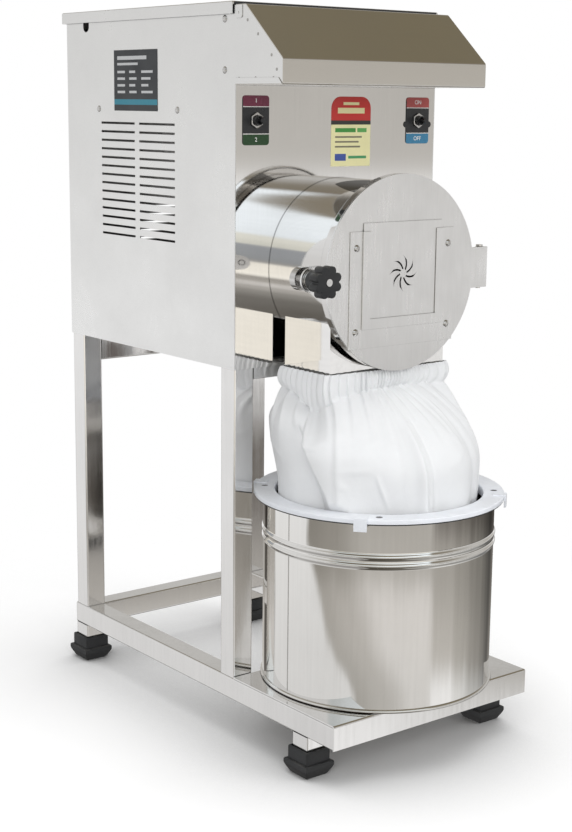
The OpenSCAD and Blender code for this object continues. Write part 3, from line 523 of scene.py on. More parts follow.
class Groups:
    """Surface effects that several finishes share, each built once."""

    def __init__(self) -> None:
        """Builds every group."""
        self.smudge = self.make_smudge()
        self.lines = self.make_lines()
        self.dust = self.make_dust()
        self.weave = self.make_weave()
        self.crevice_shade = self.make_crevice_shade()

    def make_smudge(self) -> bpy.types.NodeTree:
        """Cloudy handling marks, from 0 on clean sheet to 1 where it is dull."""
        nodes, start, end = new_group("handling smudges", {"Scale": 6.0}, ["Mask"])
        cloud = nodes.noise(start["Scale"], 5.0, rough=0.62)
        nodes.link(nodes.mapped(cloud, 0.34, 0.7), end["Mask"])
        return nodes.tree

    def make_lines(self) -> bpy.types.NodeTree:
        """Fine polishing lines, drawn out by a stretch along each axis."""
        nodes, start, end = new_group("polishing lines", {"Stretch": (1.0, 1.0, 1.0)}, ["Mask"])
        drawn = nodes.add("VectorMath", {0: nodes.place(), 1: start["Stretch"]}, operation="MULTIPLY")
        grain = nodes.noise(1.0, 3.0, drawn.outputs[0])
        nodes.link(nodes.mapped(grain, 0.3, 0.7), end["Mask"])
        return nodes.tree

    def make_dust(self) -> bpy.types.NodeTree:
        """Fine flour dust that settles on faces that look up."""
        nodes, start, end = new_group("settled flour", {"Amount": 0.2, "Scale": 30.0}, ["Mask"])
        up = nodes.add("SeparateXYZ", {0: nodes.add("NewGeometry").outputs["Normal"]}).outputs[2]
        patchy = nodes.mapped(nodes.noise(start["Scale"], 6.0), 0.42, 0.7)
        settled = nodes.times(nodes.mapped(up, 0.2, 0.9), patchy)
        nodes.link(nodes.times(settled, start["Amount"]), end["Mask"])
        return nodes.tree

    def make_weave(self) -> bpy.types.NodeTree:
        """Plain weave on the cloth's own UV map: a height, and a mask of the gaps between threads."""
        nodes, start, end = new_group("plain weave", {"Threads": 400.0}, ["Height", "Gaps"])
        parts = nodes.add("SeparateXYZ", {0: nodes.add("UVMap").outputs[0]}).outputs
        waves = []
        for across in (0, 1):
            turns = nodes.times(parts[across], start["Threads"])
            waves.append(nodes.math("ABSOLUTE", nodes.math("SINE", nodes.times(turns, FULL_TURN))))
        height = nodes.times(*waves)
        nodes.link(height, end["Height"])
        nodes.link(nodes.mapped(height, 0.0, 0.25, 1.0, 0.0), end["Gaps"])
        return nodes.tree

    def make_crevice_shade(self) -> bpy.types.NodeTree:
        """Painted shade in narrow gaps and corners, from 0 on open faces to 1 deep in a gap."""
        nodes, start, end = new_group("painted_crevice_shade", {"Reach": 4 * MM}, ["Mask"])
        open_share = nodes.add("AmbientOcclusion", {"Distance": start["Reach"]}, samples=8).outputs["AO"]
        nodes.link(nodes.mapped(open_share, 0.3, 0.75, 1.0, 0.0), end["Mask"])
        return nodes.tree


@dataclass(frozen=True)
class Finish:
    """A surface finish: a name and a main colour."""

    name: str
    colour: Colour

    def material(self, groups: Groups) -> bpy.types.Material:
        """Builds the finish as a material.

        Args:
            groups: the shared surface effects.

        Returns:
            The material.
        """
        material = bpy.data.materials.new(self.name)
        material.use_nodes = True
        nodes = Nodes(material.node_tree)
        self.dress(nodes, nodes.tree.nodes["Principled BSDF"].inputs, groups)
        return material

    def dress(self, nodes: Nodes, shader: Sequence[Socket], groups: Groups) -> None:
        """Joins the finish's nodes to its shader."""
        raise NotImplementedError

    def shade(self, share: float) -> Colour:
        """The main colour times a share."""
        return tuple(min(1.0, c * share) for c in self.colour)


@dataclass(frozen=True)
class SteelFinish(Finish):
    """Steel sheet or bar, from mirror polish to a brushed satin."""

    clean: float = 0.05
    dull: float = 0.14
    lines: Point = (300.0, 300.0, 6.0)
    line_depth: float = 0.0
    ripple: float = 0.0
    ripple_scale: float = 5.0
    smudge_scale: float = 7.0
    smudge_share: float = 0.65
    wear: Span = (0.15, 0.85)
    crevice_shade_share: float = 0.85
    crevice_shade_tone: float = 0.16
    dust: float = 0.0
    flour: Colour = (0.86, 0.84, 0.78)
    flour_rough: float = 0.4
    flour_matt: float = 0.8

    def dress(self, nodes: Nodes, shader: Sequence[Socket], groups: Groups) -> None:
        """Joins smudges, polishing lines, ripple, painted shade in crevices and flour to the shader."""
        smudge = nodes.effect(groups.smudge, Scale=self.smudge_scale)
        lines = nodes.effect(groups.lines, Stretch=self.lines)
        dust = nodes.effect(groups.dust, Amount=self.dust)
        wear = nodes.math(
            "ADD", nodes.times(smudge, self.smudge_share), nodes.times(lines, 1 - self.smudge_share)
        )
        tone = nodes.mix(wear, self.shade(1.03), self.shade(0.94))
        # Painted shade: narrow gaps found by ambient occlusion are darkened in the colour.
        gap = nodes.effect(groups.crevice_shade)
        tone = nodes.mix(nodes.times(gap, self.crevice_shade_share), tone, self.shade(self.crevice_shade_tone))
        nodes.link(nodes.mix(dust, tone, self.flour), shader["Base Color"])
        rough = nodes.mapped(wear, *self.wear, self.clean, self.dull)
        nodes.link(nodes.math("ADD", rough, nodes.times(dust, self.flour_rough)), shader["Roughness"])
        nodes.link(nodes.math("SUBTRACT", 1.0, nodes.times(dust, self.flour_matt)), shader["Metallic"])
        sheet = nodes.bump(nodes.noise(self.ripple_scale, 1.0), self.ripple, 2 * MM)
        nodes.link(nodes.bump(lines, self.line_depth, 0.1 * MM, sheet), shader["Normal"])


@dataclass(frozen=True)
class MouldedFinish(Finish):
    """Moulded plastic, rubber or paint with a fine texture."""

    rough: float = 0.4
    texture: float = 0.1
    texture_scale: float = 900.0
    smudge_scale: float = 18.0
    dust: float = 0.1
    flour: Colour = (0.8, 0.78, 0.72)
    flour_rough: float = 0.3

    def dress(self, nodes: Nodes, shader: Sequence[Socket], groups: Groups) -> None:
        """Joins colour drift, texture and flour to the shader."""
        smudge = nodes.effect(groups.smudge, Scale=self.smudge_scale)
        dust = nodes.effect(groups.dust, Amount=self.dust)
        tone = nodes.mix(smudge, self.shade(0.93), self.shade(1.06))
        nodes.link(nodes.mix(dust, tone, self.flour), shader["Base Color"])
        worn = nodes.mapped(smudge, 0.0, 1.0, self.rough * 0.85, min(1.0, self.rough * 1.2))
        rough = nodes.math("ADD", worn, nodes.times(dust, self.flour_rough), clamped=True)
        nodes.link(rough, shader["Roughness"])
        nodes.link(nodes.bump(nodes.noise(self.texture_scale, 2.0), self.texture, 0.2 * MM), shader["Normal"])


@dataclass(frozen=True)
class ClothFinish(Finish):
    """Plain-woven cotton."""

    threads: float = 420.0
    gap_share: float = 0.12
    smudge_scale: float = 14.0
    crumple_scale: float = 38.0
    crumple: float = 0.35
    weave: float = 0.25
    sheen: Span = (0.25, 0.5)

    def dress(self, nodes: Nodes, shader: Sequence[Socket], groups: Groups) -> None:
        """Joins the weave, its gaps and soft creases to the shader."""
        gaps, height = (nodes.effect(groups.weave, key, Threads=self.threads) for key in ("Gaps", "Height"))
        smudge = nodes.effect(groups.smudge, Scale=self.smudge_scale)
        tone = nodes.mix(smudge, self.shade(1.02), self.shade(0.965))
        nodes.link(nodes.mix(nodes.times(gaps, self.gap_share), tone, self.shade(0.7)), shader["Base Color"])
        nodes.link(nodes.mapped(smudge, 0.0, 1.0, 0.85, 0.97), shader["Roughness"])
        shader["Sheen Weight"].default_value, shader["Sheen Roughness"].default_value = self.sheen
        soft = nodes.bump(nodes.noise(self.crumple_scale, 4.0, rough=0.55), self.crumple, 2 * MM)
        nodes.link(nodes.bump(height, self.weave, 0.2 * MM, soft), shader["Normal"])


@dataclass(frozen=True)
class Patch:
    """A printed rectangle on a plate, between two places across and two heights."""

    across: Span
    height: Span
    colour: Colour


@dataclass(frozen=True)
class PrintedFinish(Finish):
    """A printed plate: a ground colour with rectangles of other colours."""

    patches: Sequence[Patch] = ()
    across: Axis = Axis.X
    rough: float = 0.32
    smudge_scale: float = 25.0

    def dress(self, nodes: Nodes, shader: Sequence[Socket], groups: Groups) -> None:
        """Lays the printed rectangles over the ground and joins them to the shader."""
        place = nodes.add("SeparateXYZ", {0: nodes.place()}).outputs
        smudge = nodes.effect(groups.smudge, Scale=self.smudge_scale)
        tone = nodes.mix(smudge, self.shade(1.04), self.shade(0.94))
        for patch in self.patches:
            inside: Value = 1.0
            for value, span in ((place[self.across.name], patch.across), (place["Z"], patch.height)):
                for side, limit in zip(("GREATER_THAN", "LESS_THAN"), span):
                    inside = nodes.times(inside, nodes.math(side, value, limit))
            tone = nodes.mix(inside, tone, patch.colour)
        nodes.link(tone, shader["Base Color"])
        nodes.link(nodes.mapped(smudge, 0.0, 1.0, self.rough * 0.8, self.rough * 1.3), shader["Roughness"])


class Palette:
    """Every finish of the mill as a material, and the CAD nodes that keep their shape."""

    FINISHES = (
        SteelFinish("stand_steel", (0.86, 0.852, 0.845), 0.05, 0.17, (240, 240, 9), ripple=0.05),
        SteelFinish("casing_steel", (0.93, 0.93, 0.925), 0.27, 0.36, (20, 420, 900), line_depth=0.04),
        SteelFinish("front_mirror", (0.88, 0.87, 0.855), 0.03, 0.07, (700, 200, 9), ripple=0.035),
        # hood_steel's warm, darker tint is a painted reflection: the hood is stainless like the casing,
        # tinted as if it mirrored a dark brown surround.
        SteelFinish("hood_steel", (0.80, 0.775, 0.73), 0.10, 0.19, (9, 700, 700), ripple=0.03),
        # fastener_steel is darker than the sheet so screws stand out: painted shade for the dark outlines and
        # shadows round their heads.
        SteelFinish("fastener_steel", (0.70, 0.69, 0.68), 0.12, 0.30, (300, 300, 300)),
        SteelFinish("chamber_steel", (0.90, 0.89, 0.88), 0.04, 0.10, (240, 9, 240), ripple=0.04),
        SteelFinish("door_steel", (0.94, 0.94, 0.94), 0.26, 0.33, (400, 400, 30), line_depth=0.004),
        SteelFinish("bucket_steel", (0.88, 0.87, 0.85), 0.03, 0.06, (260, 260, 8), ripple=0.05),
        SteelFinish("seam_steel", (0.50, 0.49, 0.47), 0.25, 0.40, (400, 400, 60)),
        SteelFinish("hopper_steel", (0.74, 0.74, 0.73), 0.20, 0.34, (300, 300, 20), dust=0.5),
        SteelFinish("bearing_steel", (0.62, 0.62, 0.61), 0.18, 0.32, (300, 20, 300)),
        SteelFinish("grinding_iron", (0.30, 0.29, 0.28), 0.42, 0.62, (120, 120, 120), dust=0.5),
        MouldedFinish("foot_rubber", (0.022, 0.023, 0.025), 0.58, 0.25, 700.0),
        MouldedFinish("black_plastic", (0.018, 0.019, 0.021), 0.34, 0.12),
        MouldedFinish("motor_paint", (0.10, 0.14, 0.16), 0.45, 0.3, 420.0, dust=0.4),
        MouldedFinish("capacitor_case", (0.62, 0.62, 0.58), 0.38, 0.1),
        MouldedFinish("ring_plastic", (0.84, 0.865, 0.91), 0.33, 0.08, 300.0),
        ClothFinish("sleeve_cloth", (0.83, 0.84, 0.85), threads=700.0),
    )
    KEPT = {
        "fastener_steel": (
            "panel_screws", "lid_leaves", "lid_hinges", "lid_hinge_rods", "door_hinge_bracket",
            "door_hinge_pin", "clamp_lug", "shutter_screws", "knob_washer", "knob_stud", "rotor_nut",
        ),
        "black_plastic": (
            "cable_gland", "switch_bodies", "mode_lever", "power_lever", "door_gasket", "cooling_fan",
        ),
        "chamber_steel": ("chamber_barrel", "discharge_chute"),
        "door_steel": ("shutter_plate",),
        "grinding_iron": ("chamber_back_plate", "chamber_liner", "grinding_rotor"),
        "bearing_steel": ("chamber_screen", "motor_bearings", "motor_shaft"),
        "motor_paint": ("motor_housing", "motor_end_shields"),
        "capacitor_case": ("capacitor",),
        "hopper_steel": ("hopper",),
        "casing_steel": ("rear_panel", "floor_pan", "left_panel", "right_panel", "hood_cheeks"),
        "front_mirror": ("front_panel",),
    }

    def __init__(self, groups: Groups) -> None:
        """Builds the materials and gives them to the CAD nodes that keep their shape.

        Args:
            groups: the shared surface effects.
        """
        self.groups = groups
        self.materials: dict[str, bpy.types.Material] = {}
        self.add(*self.FINISHES)
        for look, nodes in self.KEPT.items():
            for node in nodes:
                self.coat(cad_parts[node], look)

    def add(self, *finishes: Finish) -> None:
        """Builds more finishes."""
        for finish in finishes:
            self.materials[finish.name] = finish.material(self.groups)

    def coat(self, piece: Piece, look: str) -> None:
        """Gives a piece one material.

        Args:
            piece: the mesh object.
            look: the material's name.
        """
        piece.data.materials.clear()
        piece.data.materials.append(self.materials[look])
        LOG.info("%s is in %s", piece.name, look)


@dataclass
class Assembly:
    """A sub-assembly of the mill, with the mill's materials."""

    palette: Palette

    def build(self) -> None:
        """Models the sub-assembly's pieces and seats them."""
        raise NotImplementedError

    def seat(
        self, piece: Piece, body: str, slot: str, *replaced: str,
        look: str | None = None, smooth_deg: float = SMOOTH_DEG, panel: bool = False,
    ) -> None:
        """Shades a finished piece, gives it its material and sets it on its body.

        Args:
            piece: the finished mesh.
            body: the CAD body that it moves with.
            slot: name of the material that the piece gets unless look names another.
            replaced: CAD nodes that it stands for.
            look: name of the piece's material, if not the slot's.
            smooth_deg: edges that turn more than this stay sharp.
            panel: whether it is flat sheet, whose large faces look flat up to their rounded edges.
        """
        activate(piece)
        bpy.ops.object.shade_smooth_by_angle(angle=math.radians(smooth_deg))
        if panel:
            apply_modifier(piece, "WEIGHTED_NORMAL", mode="FACE_AREA", weight=AREA_WEIGHT, keep_sharp=True)
        self.palette.coat(piece, look or slot)
        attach(piece, body)
        if replaced:
            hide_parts(*replaced)


@dataclass
class Stand(Assembly):
    """Square-tube stand with its shelf and rubber feet."""

    corner: float = 2.4 * MM
    corner_steps: int = 4
    long_edge: float = 40 * MM
    fold: float = 2.6 * MM
    fold_steps: int = 5
    foot_round: float = 2.2 * MM
    foot_steps: int = 3
    foot_deg: float = 25.0
    foot_edge: float = 10 * MM
    tubes: tuple[str, ...] = (
        "leg_front_left", "leg_front_right", "leg_rear_left", "leg_rear_right", "base_rail_left",
        "base_rail_right", "base_cross_rails", "upper_cross_rails", "upper_side_rails", "foot_stubs",
    )

    def build(self) -> None:
        """Models the tubes, the shelf with its rounded front fold, and the feet."""
        for node in self.tubes:
            tube = rounded(node, node + "_tube", self.corner, self.corner_steps, sharp(length=self.long_edge))
            self.seat(tube, "frame", "stand_steel", node, panel=True)
        low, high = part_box("shelf_tray")

        def at_fold(edge: Edge) -> bool:
            """Whether an edge is the outer fold at the shelf's front."""
            return on_top(edge, high.z) and all(abs(v.co.y - low.y) < WELD for v in edge.verts)

        shelf = rounded("shelf_tray", "shelf_sheet", self.fold, self.fold_steps, at_fold)
        self.seat(shelf, "frame", "stand_steel", "shelf_tray", panel=True)
        at_edge = sharp(self.foot_deg, self.foot_edge)
        feet = rounded("rubber_feet", "rubber_feet_moulded", self.foot_round, self.foot_steps, at_edge)
        self.seat(feet, "frame", "foot_rubber", "rubber_feet")


@dataclass
class Casing(Assembly):
    """Sheet casing's hood and lid, with their small marks, tabs, and a black strip of painted shade along the
    lid's front edge.
    """

    bend: float = 2.2 * MM
    bend_steps: int = 5
    bend_deg: tuple[float, float] = (20.0, 100.0)
    bend_share: float = 0.9
    hood_rim: float = 5 * MM
    lid_edge: float = 20 * MM
    weld_r: float = 1.9 * MM
    weld_h: float = 0.35 * MM
    weld_steps: int = 20
    weld_places: tuple[Span, ...] = (
        (25.5 * MM, 18.9 * MM), (46.3 * MM, 35.7 * MM), (73.0 * MM, 60.2 * MM), (83.2 * MM, 76.8 * MM),
        (8.7 * MM, 86.8 * MM), (42.0 * MM, 86.5 * MM), (77.0 * MM, 86.5 * MM),
    )
    tab_back: float = 0.5 * MM
    tab_w: float = 15 * MM
    tab_h: float = 16 * MM
    tab_t: float = 0.9 * MM
    tab_round: float = 3 * MM
    rivet_r: float = 1.3 * MM
    rivet_long: float = 3.4 * MM
    rivet_round: float = 0.5 * MM
    rivet_drop: float = 0.6
    hem_h: float = 8 * MM
    hem_cut: float = 0.9
    shadow_strip_h: float = 3.6 * MM
    shadow_strip_room: float = 0.2 * MM
    shadow_strip_round: float = 0.3 * MM

    def build(self) -> None:
        """Rounds the hood's bends and the lid's folds, and adds their details."""
        low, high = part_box("hood_cover")
        least, most = self.bend_deg
        bent = sharp(least, (high.x - low.x) * self.bend_share)

        def at_bend(edge: Edge) -> bool:
            """Whether an edge is one of the hood's outer bends, away from its free rims."""
            inside = edge.verts[0].co.y < high.y - self.hood_rim
            return bent(edge) and inside and edge.calc_face_angle(0) < math.radians(most)

        hood = rounded("hood_cover", "hood_folded", self.bend, self.bend_steps, at_bend)
        self.seat(hood, "frame", "hood_steel", "hood_cover", panel=True)
        self.welds(low, high)
        self.tabs(low, high)
        lid_low, lid_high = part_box("lid")
        # Black strip along the lid's front edge: painted shade standing for the shadow gap under the lid's
        # front lip.
        strip = block(
            "lid_shadow_strip", (low.x, high.y + self.shadow_strip_room, high.z + self.shadow_strip_room),
            (high.x, lid_low.y, high.z + self.shadow_strip_h),
        )
        self.seat(bevel(strip, self.shadow_strip_round, 2, sharp()), "lid", "black_plastic", look="foot_rubber")
        fold = sharp(length=self.lid_edge)
        lid = rounded(
            "lid", "lid_folded", self.bend, self.bend_steps, lambda e: fold(e) and on_top(e, lid_high.z)
        )
        self.seat(lid, "lid", "casing_steel", "lid", panel=True)

    def welds(self, low: Vector, high: Vector) -> None:
        """Sets the spot-weld marks along the hood's cheeks.

        Args:
            low: lowest corner of the hood.
            high: highest corner of the hood.
        """
        r, h = self.weld_r, self.weld_h
        profile = [(0.0, -h), (r, -h), (r, 0.2 * h), (0.7 * r, h), (0.4 * r, 0.5 * h), (0.0, 0.35 * h)]
        mark = lathe("weld", Vector(), Axis.X, profile + profile[:1], self.weld_steps)
        marks = [
            turned(mark, "weld", (x, high.y - back, high.z - down), 180.0 if x < 0 else 0.0)
            for x in (low.x, high.x) for back, down in self.weld_places
        ]
        bpy.data.objects.remove(mark)
        self.seat(join(marks, "hood_weld_marks"), "frame", "casing_steel", look="seam_steel")

    def tabs(self, low: Vector, high: Vector) -> None:
        """Models the small riveted tabs where the hood meets the lid, and the hems of its cheeks.

        Args:
            low: lowest corner of the hood.
            high: highest corner of the hood.
        """
        far = high.y - self.tab_back
        near, t = far - self.tab_w, self.tab_t
        rivet_place = ((near + far) / 2, high.z - self.tab_h * self.rivet_drop)

        def at_foot(edge: Edge) -> bool:
            """Whether an edge is one of a tab's two lower corners."""
            return along(edge, Axis.X) and edge.verts[0].co.z < high.z - self.tab_h / 2

        def at_nose(edge: Edge) -> bool:
            """Whether an edge is a hem's upper front corner."""
            corner = edge.verts[0].co
            return along(edge, Axis.X) and corner.z > low.z + self.hem_h / 2 and corner.y < low.y + self.hem_h

        tabs = []
        for x in (low.x, high.x):
            inner, outer = sorted((x, x + math.copysign(t, x)))
            tab = block("tab", (inner, near, high.z - self.tab_h), (outer, far, high.z - t))
            rivet = disc("rivet", Vector((x, *rivet_place)), Axis.X, self.rivet_r, self.rivet_long, 20)
            hem = block("hem", (inner, low.y + t, low.z + t), (outer, high.y - 2 * t, low.z + self.hem_h))
            tabs += [
                bevel(tab, self.tab_round, 4, at_foot), bevel(rivet, self.rivet_round, 2, sharp()),
                bevel(hem, self.hem_h * self.hem_cut, 1, at_nose),
            ]
        self.seat(join(tabs, "hood_tabs"), "frame", "casing_steel")


class Ink(Enum):
    """Colours of the printed plates."""

    BLACK = (0.035, 0.033, 0.03)
    RED = (0.56, 0.035, 0.028)
    CREAM = (0.80, 0.74, 0.40)
    GREEN = (0.05, 0.27, 0.05)
    LEAF = (0.10, 0.36, 0.09)
    BOTTLE = (0.06, 0.30, 0.12)
    BLUE = (0.05, 0.09, 0.33)
    ROWS = (0.2, 0.19, 0.13)
    PALE = (0.60, 0.61, 0.62)
    TEAL = (0.035, 0.25, 0.34)
    LINE = (0.62, 0.60, 0.58)
    PLUM = (0.15, 0.022, 0.05)
    PINE = (0.014, 0.05, 0.016)
    ROSE = (0.38, 0.07, 0.065)
    SKY = (0.04, 0.19, 0.33)


Bar = tuple[float, float, float, float, Ink]


def bars(low: Vector, high: Vector, across: Axis, rows: Sequence[Bar]) -> list[Patch]:
    """Places printed bars on a plate.

    Args:
        low: lowest corner of the plate.
        high: its highest corner.
        across: direction of its width, X on the front and Y on the left side.
        rows: left, right, bottom and top of each bar, as shares of the width and height, and its ink.

    Returns:
        The printed rectangles.
    """
    start, width = (low.x, high.x - low.x) if across is Axis.X else (high.y, low.y - high.y)
    height = high.z - low.z
    return [
        Patch(tuple(sorted((start + left * width, start + right * width))),
              (low.z + bottom * height, low.z + top * height), ink.value)
        for left, right, bottom, top, ink in rows
    ]


def lettering(word: str, place: Vector, size: float, depth: float) -> Piece:
    """Sets a word as a thin mesh that faces the front.

    Args:
        word: the letters.
        place: the word's middle.
        size: the letters' size.
        depth: thickness of the ink.

    Returns:
        The word.
    """
    bpy.ops.object.select_all(action="DESELECT")
    bpy.ops.object.text_add(location=place, rotation=(math.pi / 2, 0, 0))
    text = bpy.context.object.data
    text.body, text.size, text.extrude = word, size, depth / 2
    text.align_x = text.align_y = "CENTER"
    bpy.ops.object.convert(target="MESH")
    return applied(bpy.context.object, "mark_" + word)


@dataclass
class Controls(Assembly):
    """Switch plates, their nuts and marks, and the two printed plates."""

    plate_w: float = 40 * MM
    corner: float = 4 * MM
    band: float = 13 * MM
    line: float = 1.1 * MM
    mark: float = 7.5 * MM
    mark_lift: float = 0.12 * MM
    chamfer: float = 0.7 * MM
    nut_deg: float = 50.0
    arch: float = 15 * MM
    label_bars: tuple[Bar, ...] = (
        (0.0, 1.0, 0.66, 1.0, Ink.RED), (0.0, 1.0, 0.60, 0.66, Ink.BLACK),
        (0.16, 0.84, 0.76, 0.84, Ink.CREAM), (0.30, 0.70, 0.88, 0.92, Ink.CREAM),
        (0.10, 0.62, 0.49, 0.55, Ink.GREEN), (0.66, 0.90, 0.49, 0.55, Ink.LEAF),
        (0.10, 0.78, 0.41, 0.435, Ink.ROWS), (0.10, 0.70, 0.34, 0.365, Ink.ROWS),
        (0.10, 0.74, 0.27, 0.295, Ink.ROWS), (0.10, 0.38, 0.08, 0.18, Ink.BLUE),
        (0.44, 0.90, 0.11, 0.15, Ink.BOTTLE),
    )
    rating_bars: tuple[Bar, ...] = (
        (0.08, 0.76, 0.84, 0.90, Ink.PALE), (0.08, 0.56, 0.75, 0.79, Ink.PALE),
        (0.0, 1.0, 0.10, 0.19, Ink.TEAL),
    )
    rating_rows: int = 4
    row_top: float = 0.62
    row_step: float = 0.11
    row_h: float = 0.04

    def build(self) -> None:
        """Models the switch plates with their nuts and marks, the label and the rating plate."""
        self.plates()
        nuts = rounded("switch_nuts", "switch_nuts_cut", self.chamfer, 2, sharp(self.nut_deg))
        self.seat(nuts, "frame", "fastener_steel", "switch_nuts")
        low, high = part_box("front_label")
        patches = bars(low, high, Axis.X, self.label_bars)
        self.palette.add(PrintedFinish("label_print", (0.80, 0.76, 0.42), patches, rough=0.4))
        label = block("front_label_printed", low, high)
        bevel(label, self.arch, 8, lambda e: along(e, Axis.Y) and on_top(e, high.z))
        self.seat(label, "frame", "label_print", "front_label")
        label.visible_glossy = False
        self.rating()

    def plates(self) -> None:
        """Rounds the switch plates' corners, prints their bands and sets their marks on them."""
        low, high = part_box("switch_plates")
        half = self.plate_w / 2
        mode_x = low.x + half
        sides = ((mode_x, Ink.PLUM, Ink.PINE, ("1", "2")), (-mode_x, Ink.ROSE, Ink.SKY, ("ON", "OFF")))
        patches, marks = [], []
        for x, upper, lower, _ in sides:
            for reach, inks in ((self.band + self.line, (Ink.LINE, Ink.LINE)), (self.band, (upper, lower))):
                for span, ink in zip(((high.z - reach, high.z), (low.z, low.z + reach)), inks):
                    patches.append(Patch((x - half, x + half), span, ink.value))
        self.palette.add(
            PrintedFinish("switch_print", (0.02, 0.021, 0.023), patches),
            PrintedFinish("white_ink", (0.80, 0.79, 0.77), rough=0.45),
        )
        square = sharp()
        plates = rounded(
            "switch_plates", "switch_plates_printed", self.corner, 5, lambda e: square(e) and along(e, Axis.Y)
        )
        self.seat(plates, "frame", "switch_print", "switch_plates")
        for x, _, _, words in sides:
            for word, z in zip(words, (high.z - self.band / 2, low.z + self.band / 2)):
                place = Vector((x, low.y - self.mark_lift / 2, z))
                marks.append(lettering(word, place, self.mark, self.mark_lift))
        self.seat(join(marks, "switch_marks"), "frame", "switch_print", look="white_ink")

    def rating(self) -> None:
        """Models the rating plate on the left panel and prints plain rows on it."""
        rows = list(self.rating_bars)
        for row in range(self.rating_rows):
            base = self.row_top - self.row_step * row
            spans = ((0.08, 0.26), (0.36, 0.50 + 0.03 * (row % 2)), (0.64, 0.90 - 0.05 * (row % 3)))
            rows += [(left, right, base, base + self.row_h, Ink.PALE) for left, right in spans]
        low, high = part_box("rating_plate")
        patches = bars(low, high, Axis.Y, rows)
        self.palette.add(PrintedFinish("rating_print", (0.030, 0.033, 0.038), patches, Axis.Y, rough=0.4))
        plate = block("rating_plate_printed", low, high)
        self.seat(plate, "frame", "rating_print", "rating_plate")


@dataclass
class Door(Assembly):
    """Chamber door with its folded edge, shutter rails and star knob."""

    rim: float = 0.7 * MM
    lip: float = 0.9 * MM
    plate_t: float = 3 * MM
    edge_t: float = 1.4 * MM
    edge_deep: float = 9.6 * MM
    edge_in: float = 0.1 * MM
    edge_under: float = 0.5 * MM
    edge_round: float = 0.6 * MM
    edge_steps: int = 160
    hinge_gap: float = 38 * MM
    knob_r: float = 20 * MM
    knob_sides: int = 192
    lobes: int = 8
    lobe_share: float = 0.27
    waist_share: float = 0.8
    lobe_round: float = 2.0 * MM
    rim_turn: float = 1.2
    head_t: float = 15 * MM
    hub_r: float = 12.5 * MM
    hub_room: float = 0.1 * MM

    def build(self) -> None:
        """Rounds the door's and the shutter rails' edges, then makes the folded edge and the knob."""
        plate = rounded("door_plate", "door_plate_pressed", self.rim, 2, sharp())
        self.seat(plate, "door", "door_steel", "door_plate", panel=True)
        rails = rounded("shutter_frame", "shutter_frame_folded", self.lip, 3, sharp())
        self.seat(rails, "door", "door_steel", "shutter_frame", panel=True)
        self.edge()
        self.knob()

    def edge(self) -> None:
        """Turns the door's folded edge and cuts it away at the hinge."""
        low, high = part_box("door_plate")
        radius, axis_z = (high.z - low.z) / 2, (high.z + low.z) / 2
        outer, inner = radius - self.edge_in, radius - self.edge_t
        fillet, deep = self.edge_round, self.edge_deep
        profile = [(inner, -self.edge_under), (outer, -self.edge_under), (outer, deep - 2 * fillet)]
        profile += arc((outer - fillet, deep - fillet), fillet, 0, 90, 4) + [(inner, deep)]
        ring = lathe("door_edge", Vector((0, low.y + self.plate_t, axis_z)), Axis.Y, profile, self.edge_steps)
        near = (radius / 2, low.y, axis_z - self.hinge_gap)
        combine(ring, "DIFFERENCE", block("gap", near, (2 * radius, high.y + deep, axis_z + self.hinge_gap)))
        self.seat(ring, "door", "door_steel", look="chamber_steel")

    def outline(self, turn: float) -> float:
        """Distance from the knob's axis to its lobed edge.

        Args:
            turn: direction in radians.

        Returns:
            The distance in metres.
        """
        lobe = self.lobe_share * self.knob_r
        step = FULL_TURN / self.lobes
        away = (turn % step) - step / 2
        reach = self.knob_r - lobe
        inside = lobe ** 2 - (reach * math.sin(away)) ** 2
        lobed = reach * math.cos(away) + math.sqrt(inside) if inside > 0 else 0.0
        return max(self.knob_r - self.waist_share * lobe, lobed)

    def knob(self) -> None:
        """Models the star knob's lobed head, extruded and rounded, and turns its hub."""
        low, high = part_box("star_knob")
        middle = (low + high) / 2
        front = Vector((middle.x, low.y, middle.z))
        head = primitive(
            "knob_head", bpy.ops.mesh.primitive_circle_add, vertices=self.knob_sides, radius=self.knob_r,
            fill_type="NGON", location=front, rotation=(math.pi / 2, 0, 0),
        )
        for vertex in head.data.vertices:
            out = vertex.co - front
            vertex.co = front + out.normalized() * self.outline(math.atan2(out.z, out.x))
        with Edit(head, "FACE") as edit:
            edit.all()
            bpy.ops.mesh.extrude_region_move(TRANSFORM_OT_translate={"value": (0, self.head_t, 0)})
            edit.tidy()
        r, inner = self.lobe_round, self.head_t / 2
        bevel(head, r, 4, lambda e: e.calc_face_angle(0) > self.rim_turn and not along(e, Axis.Y))
        depth = high.y - low.y - self.hub_room
        profile = [(0.0, inner), (self.hub_r, inner)]
        profile += arc((self.hub_r - r, depth - r), r, 0, 90, 5) + [(0.0, depth)]
        hub = lathe("knob_hub", front, Axis.Y, profile, self.knob_sides // 2)
        self.seat(join([head, hub], "star_knob_moulded"), "clamp_knob", "black_plastic", "star_knob")


